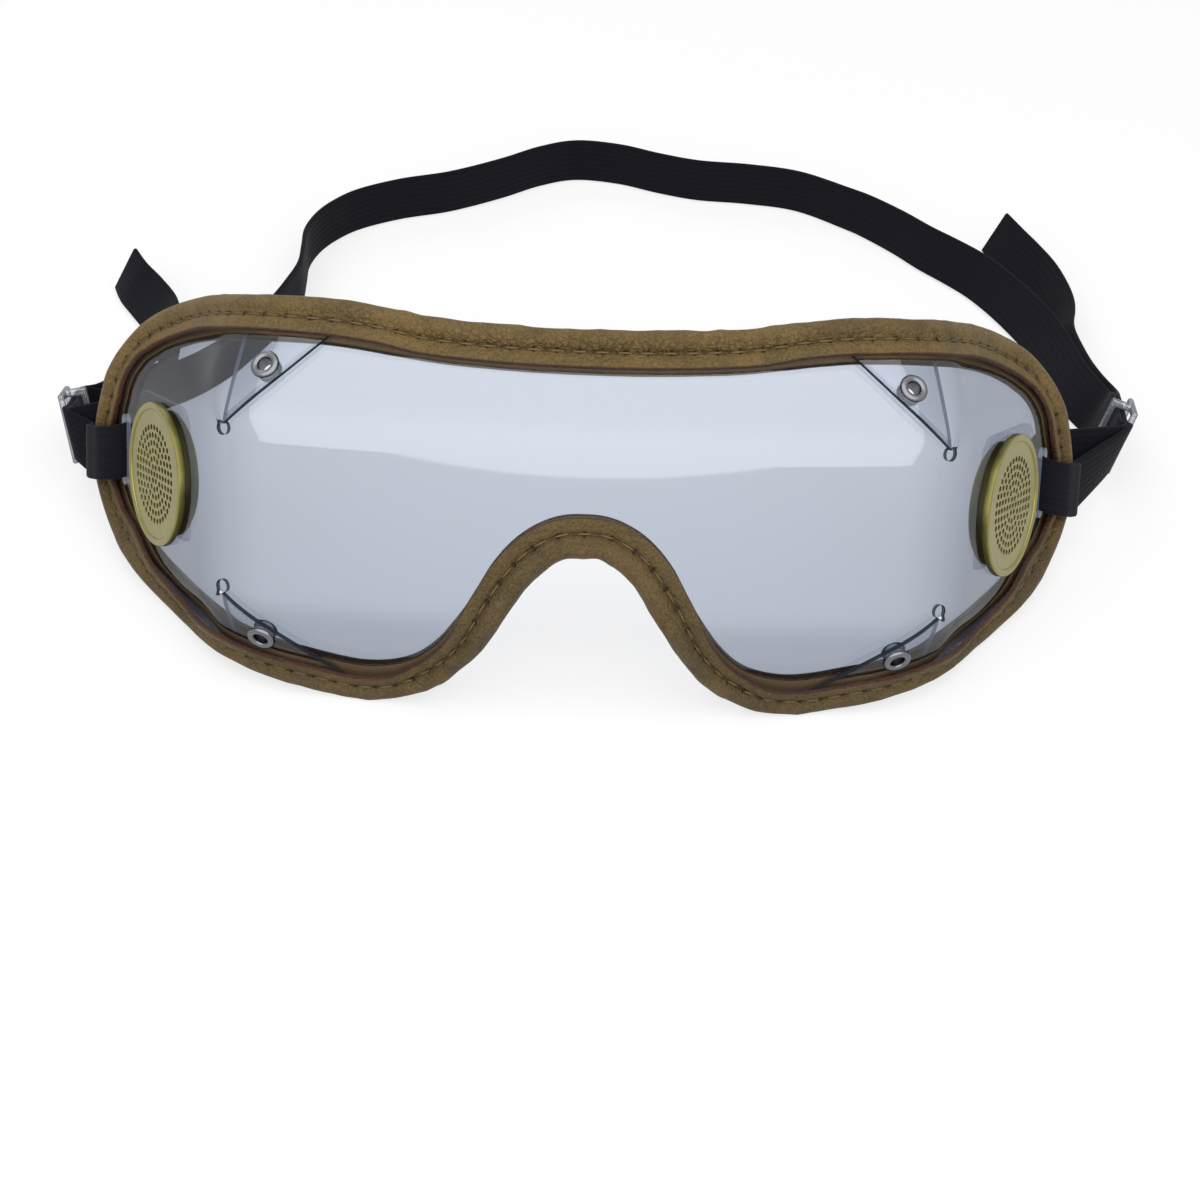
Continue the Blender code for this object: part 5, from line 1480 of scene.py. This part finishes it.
def perforation_tree(material):
    """Pierces a disc with one middle hole and rings of six, twelve, eighteen and so on."""
    tree, given, output = new_tree("perforations", (
        ("Rings", "NodeSocketInt", 5), ("Pitch", "NodeSocketFloat", 0.00158),
        ("Hole radius", "NodeSocketFloat", 0.00045), ("Depth", "NodeSocketFloat", 0.002),
        ("Level", "NodeSocketFloat", 0.0)))

    def sum_of(operation, *terms):
        return value_of(tree, operation, *terms)

    rings = given["Rings"]
    count = sum_of("MULTIPLY_ADD", sum_of("MULTIPLY", rings, sum_of("ADD", rings, 1.0)), 3.0, 1.0)
    points = add_node(tree, "GeometryNodePoints", {"Count": count})
    index = add_node(tree, "GeometryNodeInputIndex").outputs[0]
    root = sum_of("SQRT", sum_of("MAXIMUM", sum_of("MULTIPLY_ADD", index, 12.0, -3.0), 0.0))
    ring = sum_of("FLOOR", sum_of("DIVIDE", sum_of("ADD", root, 3.0), 6.0))
    ring = sum_of("MULTIPLY", ring, sum_of("GREATER_THAN", index, 0.5))
    before = sum_of("MULTIPLY_ADD", sum_of("MULTIPLY", ring, sum_of("SUBTRACT", ring, 1.0)),
                    3.0, 1.0)
    turn = sum_of("MULTIPLY", sum_of("SUBTRACT", index, before), 2 * math.pi)
    angle = sum_of("DIVIDE", turn, sum_of("MAXIMUM", sum_of("MULTIPLY", ring, 6.0), 1.0))
    radius = sum_of("MULTIPLY", ring, given["Pitch"])
    spot = add_node(tree, "ShaderNodeCombineXYZ", {
        "X": sum_of("MULTIPLY", radius, sum_of("COSINE", angle)),
        "Y": sum_of("MULTIPLY", radius, sum_of("SINE", angle)), "Z": given["Level"]})
    set_out = add_node(tree, "GeometryNodeSetPosition", {
        "Geometry": points.outputs[0], "Position": spot.outputs[0]})
    drill = add_node(tree, "GeometryNodeMeshCylinder", {
        "Vertices": HOLE_FACETS, "Radius": given["Hole radius"], "Depth": given["Depth"]})
    drills = add_node(tree, "GeometryNodeInstanceOnPoints", {
        "Points": set_out.outputs[0], "Instance": drill.outputs["Mesh"]})
    solid = add_node(tree, "GeometryNodeRealizeInstances", {0: drills.outputs[0]})
    pierced = add_node(tree, "GeometryNodeMeshBoolean", {
        "Mesh 1": given["Geometry"], "Mesh 2": solid.outputs[0]},
        operation="DIFFERENCE", solver="EXACT")
    return close_tree(tree, output, pierced.outputs["Mesh"], material)


def eyelet_mesh():
    """Round flanged eyelet with a rolled crown, its barrel rolled back behind the flaps."""
    seat = LENS_THICKNESS / 2 + FLAP_LIFT + BEARING
    back = -(LENS_THICKNESS / 2 + BEARING)
    bore = EYELET_BARREL_RADIUS - EYELET_WALL
    middle = (EYELET_FLANGE_RADIUS + bore) / 2
    spread = (EYELET_FLANGE_RADIUS - bore) / 2
    rolled = EYELET_FLANGE_RADIUS * 0.85
    return turned("eyelet", [
        *((middle + spread * cosine, seat + EYELET_CROWN * sine ** 0.8)
          for cosine, sine in arc_steps(0.0, math.pi, 10)),
        (bore, back - EYELET_WALL), (rolled, back - EYELET_WALL), (rolled, back),
        (EYELET_BARREL_RADIUS, back), (EYELET_BARREL_RADIUS, seat),
    ], EYELET_FACETS)


# Strap and adjusters

def slot_frame(side):
    """Slot's middle and the panel's rearward, outward and upward directions."""
    turn = LEAN.to_3x3()
    rear, out, up = (turn @ Vector(way) for way in (
        (side * SIDE_AXIS.x, SIDE_AXIS.y, 0.0), (side * SIDE_NORMAL.x, SIDE_NORMAL.y, 0.0),
        (0.0, 0.0, 1.0)))
    return STAND @ on_sheet(side * SLOT_PLACE, SLOT_RAISE), rear, out, up


def adjuster_frame(side):
    """Adjuster's middle and the directions of its run, its outside and its bars."""
    reach, away, rise = ADJUSTER_PLACES[side > 0]
    turn, fall, tilt, back = (math.radians(degrees) for degrees in ADJUSTER_TURNS[side > 0])
    middle, rear, out, up = slot_frame(side)
    place = middle + reach * rear + away * out + rise * up
    run = Vector((side * math.tan(turn), 1.0, -math.tan(fall))).normalized()
    bars = Vector((side * math.tan(tilt), math.tan(back), 1.0)).normalized()
    outside = run.cross(bars).normalized() * side
    bars = outside.cross(run).normalized() * side
    return place, run, outside, bars


def strap_loop(side):
    """Ribbon places and widths from the tail's run, through the slot, to the head's."""
    place, run, outside, bars = adjuster_frame(side)
    middle, rear, out, up = slot_frame(side)
    layer = (STRAP_THICKNESS + LAYER_GAP) / 2
    far = ADJUSTER_SPAN / 2 + ADJUSTER_TRAVEL / 2 + RUN_SPARE
    tail, head = ([(place + run * (far * share) + outside * lift, bars) for share in RUN_SHARES]
                  for lift in (layer, -layer))
    hug = LEATHER_OUTER + CLEARANCE + STRAP_THICKNESS / 2
    lip = LIP_OUTER + CLEARANCE + STRAP_THICKNESS / 2
    bead = SLOT_TO_RIM + BEAD_REACH
    crest = SLOT_TO_RIM - CREST
    shape = ((bead + LEATHER_OUTER * 0.30, hug * 0.62), (bead - BEAD_REACH * 0.55, hug),
             (crest, hug * 1.07), (crest - STITCH_INSET, hug),
             (SLOT_TO_RIM - BINDING_LIP, lip * 1.42), (SLOT_WIDTH * 0.28, lip * 0.75))
    outer, inner = ([(middle + rear * a + out * m * way + up * (share * slips[side > 0]), up)
                     for (a, m), share in zip(shape, SLIP_SHARES)]
                    for way, slips in ((1, FRONT_SLIPS), (-1, REAR_SLIPS)))
    return tail[::-1] + outer + [(middle, up)] + inner[::-1] + head


def standing(shares):
    """Places and width directions of ribbon whose lower edge lies on the table."""
    left, right = (adjuster_frame(side)[0] for side in (-1, 1))
    half_width = (right.x - left.x) / 2 * LOOP_WIDTH_SHARE
    near = (right.y + left.y) / 2
    flat = [Vector((LENS_CENTRE.x + across * half_width,
                    near + (back - LOOP_NEAR_SHARE) * LOOP_REACH)) for across, back, _ in shares]
    ribbon = []
    for i, (_, _, degrees) in enumerate(shares):
        before, after = beside(flat, i)
        heading = (after - before).normalized()
        lean = math.radians(degrees)
        width = Vector((heading.y * math.sin(lean), -heading.x * math.sin(lean), math.cos(lean)))
        rise = STRAP_WIDTH / 2 * math.cos(lean) + STRAP_THICKNESS / 2 * abs(math.sin(lean))
        ribbon.append((Vector((*flat[i], rise + CLEARANCE)), width))
    return ribbon


def strap_route():
    """Ribbon places and width directions from the left tail's end to the right tail's."""
    return (standing(LEFT_TAIL_SHARES)[::-1] + strap_loop(-1) + standing(HEAD_ROUTE_SHARES)
            + strap_loop(1)[::-1] + standing(RIGHT_TAIL_SHARES))


def band_section():
    """Rounded section of the elastic: places across it and through it, from -1 to 1."""
    round_share = STRAP_THICKNESS / STRAP_WIDTH
    half = [(1.0 - round_share * (1 - sine), cosine)
            for cosine, sine in arc_steps(0.0, math.pi, 8)]
    half += [(across, -1.0) for across in (0.66, 0.33, 0.0, -0.33, -0.66)]
    return half + [(-a, -b) for a, b in half]


def band_mesh(name, route):
    """The elastic along its route, with the distances along and across it at each point."""
    places = []
    for i in range(len(route) - 1):
        window = [route[min(max(i + k, 0), len(route) - 1)] for k in (-1, 0, 1, 2)]
        steps = max(round((window[2][0] - window[1][0]).length / STRAP_PITCH), 1)
        middles, widths = (catmull(points, False, steps)[steps:2 * steps]
                           for points in zip(*window))
        places += zip(middles, widths)
    places.append(route[-1])
    section = band_section()
    vertices = []
    values = {"along": [], "across": []}
    travelled = 0.0
    for i, (middle, across) in enumerate(places):
        before, after = beside(places, i)
        along = (after[0] - before[0]).normalized()
        face = along.cross(across).normalized()
        edge = across.normalized()
        if i:
            travelled += (middle - places[i - 1][0]).length
        for a, b in section:
            vertices.append(middle + edge * (a * STRAP_WIDTH / 2)
                            + face * (b * STRAP_THICKNESS / 2))
            values["along"].append(travelled)
            values["across"].append(a * STRAP_WIDTH / 2)
    return tube(name, vertices, len(section), values)


def slide_mesh():
    """Three-bar slide: X along the strap, Y along the bars, Z to the outside."""
    half_span = ADJUSTER_SPAN / 2
    opening = STRAP_WIDTH / 2 + CLEARANCE
    low = STRAP_THICKNESS + LAYER_GAP / 2 + CLEARANCE
    high = low + ADJUSTER_DEPTH
    window = half_span - ADJUSTER_BAR
    lines = ((-half_span, -window, -ADJUSTER_BAR / 2, ADJUSTER_BAR / 2, window, half_span),
             (-ADJUSTER_LENGTH / 2, -opening, opening, ADJUSTER_LENGTH / 2),
             (-high, -low, low, high))
    shape = bmesh.new()
    corners = {}

    def corner(*place):
        if place not in corners:
            corners[place] = shape.verts.new([line[i] for line, i in zip(lines, place)])
        return corners[place]

    def filled(i, j, k):
        if not (0 <= i < 5 and 0 <= j < 3 and 0 <= k < 3):
            return False
        rail, middle_bar, end_bar = j != 1, i == 2, i in (0, 4)
        return (middle_bar, rail and middle_bar, rail or end_bar)[k]

    for cell in product(range(5), range(3), range(3)):
        for axis, step in product(range(3), (1, 0)):
            beyond = list(cell)
            beyond[axis] += 2 * step - 1
            if filled(*cell) and not filled(*beyond):
                loop = []
                for turn in ((0, 0), (1, 0), (1, 1), (0, 1)):
                    place = list(cell)
                    place[axis] += step
                    place[(axis + 1) % 3] += turn[1 - step]
                    place[(axis + 2) % 3] += turn[step]
                    loop.append(corner(*place))
                shape.faces.new(loop)
    shape.normal_update()
    flat = [e for e in shape.edges if e.calc_face_angle(0.0) < math.radians(1)]
    bmesh.ops.dissolve_edges(shape, edges=flat, use_verts=True)
    return written(shape, bpy.data.meshes.new("slide"))


# Operators, one for each piece or group of like pieces

class GOGGLES_OT_sheet(bpy.types.Operator):
    """Folds the clear sheet, and dresses the patches behind the vents"""
    bl_idname = "goggles.sheet"
    bl_label = "Lens sheet"

    def execute(self, context):
        settings = context.scene.goggles_sheet
        mesh, finishes = lens_mesh()
        film = polycarbonate_film(settings)
        lens = add_piece("lens_sheet", mesh, polycarbonate_sheet(settings))
        flesh = cemented_flesh(context.scene.goggles_leather.flesh_colour)
        for material in (sheared_edge(settings), bright_edge(settings), film, flesh):
            mesh.materials.append(material)
        mesh.polygons.foreach_set("material_index", finishes)
        dress(lens, "goggles", "lens")
        for _, word in SIDES:
            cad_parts["vent_patch_" + word].data.materials[0] = film
        return {"FINISHED"}


class GOGGLES_OT_binding(bpy.types.Operator):
    """Rolls the leather over its foam round the rim, and sews it front and back"""
    bl_idname = "goggles.binding"
    bl_label = "Leather binding"

    def execute(self, context):
        settings = context.scene.goggles_leather
        foam = upholstery_foam()
        tree = stitching_tree(sewing_thread(settings))
        # Painted shade: the lower roll's leather colours are scaled down by the lower shade.
        shade_factors = (1.0, settings.lower_shade)
        for word, shade_factor, fine in zip(("upper", "lower"), shade_factors, binding_paths()):
            stations = rim_stations(fine)
            leather = tanned_leather("tanned_leather_" + word, settings, shade_factor)
            whole = max(round(stations[-1].length / settings.stitch_pitch), 1)
            pitch = stations[-1].length / whole
            roll, core = "leather_roll_" + word, "foam_core_" + word
            roll = add_piece(roll, roll_mesh(roll, stations, pitch, settings), leather, 60)
            core = add_piece(core, foam_mesh(core, stations), foam, 60)
            dress(roll, "goggles", "binding_" + word)
            dress(core, "goggles", "foam_" + word)
            row = "stitching_" + word
            thread = linked(row, stitch_rows(row, stations, pitch))
            run_tree(thread, tree, {"Pitch": pitch, "Length": settings.stitch_length,
                                    "Thread radius": settings.thread_radius})
            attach(thread, "goggles")
        return {"FINISHED"}


class GOGGLES_OT_metal(bpy.types.Operator):
    """Presses and pierces the brass vents, and sets the nickel eyelets"""
    bl_idname = "goggles.metal"
    bl_label = "Vents and eyelets"

    def execute(self, context):
        settings = context.scene.goggles_metal
        brass = lacquered_brass("lacquered_brass", settings.brass_dark, settings.brass_light)
        # Painted shade: darker brass for the steep side of the rim and for the ring behind the
        # sheet.
        rim_shaded = lacquered_brass("rim_shaded_brass", settings.rim_shade_colour,
                                    settings.brass_dark)
        nickel = nickel_plate(settings)
        tree = perforation_tree(brass)
        for side, word in SIDES:
            cap = add_piece("pierced_vent_" + word, cap_mesh(), brass)
            run_tree(cap, tree, {
                "Rings": settings.hole_rings, "Pitch": settings.hole_pitch,
                "Hole radius": settings.hole_radius, "Level": (DISC_TOP + DISC_LOW) / 2,
                "Depth": VENT_SHEET * 3})
            cap.data.materials.append(rim_shaded)
            # Painted shade: steep faces near the cap's edge, on the side of its rim, take the
            # darker brass.
            for face in cap.data.polygons:
                outside = math.hypot(*face.center.xy) > VENT_RADIUS * RIM_SHADE_SHARE
                if outside and abs(face.normal.z) < RIM_SHADE_SLOPE:
                    face.material_index = len(cap.data.materials) - 1
            cap.data.transform(panel_frame(side * VENT_PLACE, VENT_RAISE))
            cap.data.set_sharp_from_angle(angle=math.radians(35))
            dress(cap, "goggles", "vent_cap_" + word)
            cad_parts["vent_ring_" + word].data.materials[0] = rim_shaded
            for half, height in ((1, "upper"), (-1, "lower")):
                mesh = eyelet_mesh()
                mesh.transform(panel_frame(*eyelet_place(side, half)))
                node = "eyelet_%s_%s" % (height, word)
                dress(add_piece("rolled_" + node, mesh, nickel, 50), "goggles", node)
        return {"FINISHED"}


class GOGGLES_OT_strap(bpy.types.Operator):
    """Threads the elastic from tail to tail, and moulds the two slides on it"""
    bl_idname = "goggles.strap"
    bl_label = "Strap and slides"

    def execute(self, context):
        elastic = braided_elastic(context.scene.goggles_elastic)
        nylon = moulded_nylon(context.scene.goggles_sheet)
        band = add_piece("elastic_band", band_mesh("elastic_band", strap_route()), elastic, 60)
        dress(band, "goggles", "elastic_strap")
        for side, word in SIDES:
            place, run, outside, _ = adjuster_frame(side)
            slide = add_piece("moulded_slide_" + word, slide_mesh(), nylon)
            rounding = slide.modifiers.new("rounding", "BEVEL")
            rounding.width = SLIDE_ROUNDING
            rounding.segments = 4
            rounding.limit_method = "ANGLE"
            plain(slide)
            slide.data.transform(matrix_of(place, run, outside.cross(run), outside))
            slide.data.shade_smooth()
            dress(slide, "slide_" + word, "adjuster_" + word)
        return {"FINISHED"}


def add_softbox(name, reach, size, power):
    """A square area light at a reach from the middle of the lens, which it faces."""
    lamp = bpy.data.lights.new(name, "AREA")
    lamp.shape = "RECTANGLE"
    lamp.size, lamp.size_y = size
    lamp.energy = power
    box = linked(name, lamp)
    box.location = LENS_CENTRE + reach
    box.rotation_euler = (-reach).to_track_quat("-Z", "Y").to_euler()
    box.visible_camera = False


def add_camera():
    """The camera, turned and rolled as the photographer's was."""
    camera = bpy.data.cameras.new("camera")
    camera.lens = CAMERA_LENS
    camera.sensor_width = 36.0
    camera.clip_start = 0.01
    camera.clip_end = 50.0
    ahead = Vector((math.sin(CAMERA_YAW) * math.cos(CAMERA_FALL),
                    math.cos(CAMERA_YAW) * math.cos(CAMERA_FALL), -math.sin(CAMERA_FALL)))
    right = Vector((math.cos(CAMERA_YAW), -math.sin(CAMERA_YAW), 0.0))
    up = right.cross(ahead)
    cosine, sine = math.cos(CAMERA_ROLL), math.sin(CAMERA_ROLL)
    eye = linked("camera", camera)
    eye.matrix_world = matrix_of(LENS_CENTRE + CAMERA_REACH, cosine * right + sine * up,
                                 cosine * up - sine * right, -ahead)
    bpy.context.scene.camera = eye


class GOGGLES_OT_stage(bpy.types.Operator):
    """Lays the paper, hangs the lights and sets up the camera"""
    bl_idname = "goggles.stage"
    bl_label = "Stage"

    def execute(self, context):
        settings = context.scene.goggles_stage
        shape = bmesh.new()
        bmesh.ops.create_grid(shape, x_segments=8, y_segments=8, size=FLOOR_REACH)
        mesh = bpy.data.meshes.new("paper_floor")
        shape.to_mesh(mesh)
        shape.free()
        add_piece("paper_floor", mesh, studio_paper(settings))

        world = bpy.data.worlds.new("white_room")
        world.use_nodes = True
        context.scene.world = world
        tree = world.node_tree
        tree.nodes.clear()
        strength = add_node(tree, "ShaderNodeMapRange", {
            "Value": seen_rays(tree), "To Min": settings.world_strength, "To Max": 1.0})
        sky = add_node(tree, "ShaderNodeBackground", {
            "Color": WHITE, "Strength": strength.outputs[0]})
        add_node(tree, "ShaderNodeOutputWorld", {"Surface": sky.outputs[0]})

        ahead = Vector((0.0, -math.cos(SOFTBOX_RISE), math.sin(SOFTBOX_RISE)))
        add_softbox("softbox_main", SOFTBOX_REACH * ahead, SOFTBOX_SIZE, settings.key_power)
        add_softbox("softbox_back", BACK_SOFTBOX_REACH, BACK_SOFTBOX_SIZE, settings.back_power)
        add_camera()
        context.scene.view_settings.view_transform = "Standard"
        return {"FINISHED"}


class GOGGLES_PT_panel(bpy.types.Panel):
    """Lists the pieces of the goggles"""
    bl_label = "Racing goggles"
    bl_idname = "GOGGLES_PT_panel"
    bl_space_type = "VIEW_3D"
    bl_region_type = "UI"
    bl_category = "Goggles"

    def draw(self, context):
        for _, name, operator in STEPS:
            settings = getattr(context.scene, name)
            for key in settings.bl_rna.properties.keys():
                if key not in ("rna_type", "name"):
                    self.layout.prop(settings, key)
            self.layout.operator("goggles." + operator)


# Settings, the scene's name for them, and the operator that uses them
STEPS = (
    (SheetSettings, "goggles_sheet", "sheet"),
    (LeatherSettings, "goggles_leather", "binding"),
    (MetalSettings, "goggles_metal", "metal"),
    (ElasticSettings, "goggles_elastic", "strap"),
    (StageSettings, "goggles_stage", "stage"),
)
CLASSES = (GOGGLES_OT_sheet, GOGGLES_OT_binding, GOGGLES_OT_metal, GOGGLES_OT_strap,
           GOGGLES_OT_stage, GOGGLES_PT_panel)


def register():
    for settings, name, _ in STEPS:
        bpy.utils.register_class(settings)
        setattr(bpy.types.Scene, name, bpy.props.PointerProperty(type=settings))
    for kind in CLASSES:
        bpy.utils.register_class(kind)


def unregister():
    for kind in reversed(CLASSES):
        bpy.utils.unregister_class(kind)
    for settings, name, _ in reversed(STEPS):
        delattr(bpy.types.Scene, name)
        bpy.utils.unregister_class(settings)


def main():
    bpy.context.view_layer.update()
    register()
    bpy.ops.goggles.sheet()
    bpy.ops.goggles.binding()
    bpy.ops.goggles.metal()
    bpy.ops.goggles.strap()
    bpy.ops.goggles.stage()


if __name__ == "__main__":
    main()
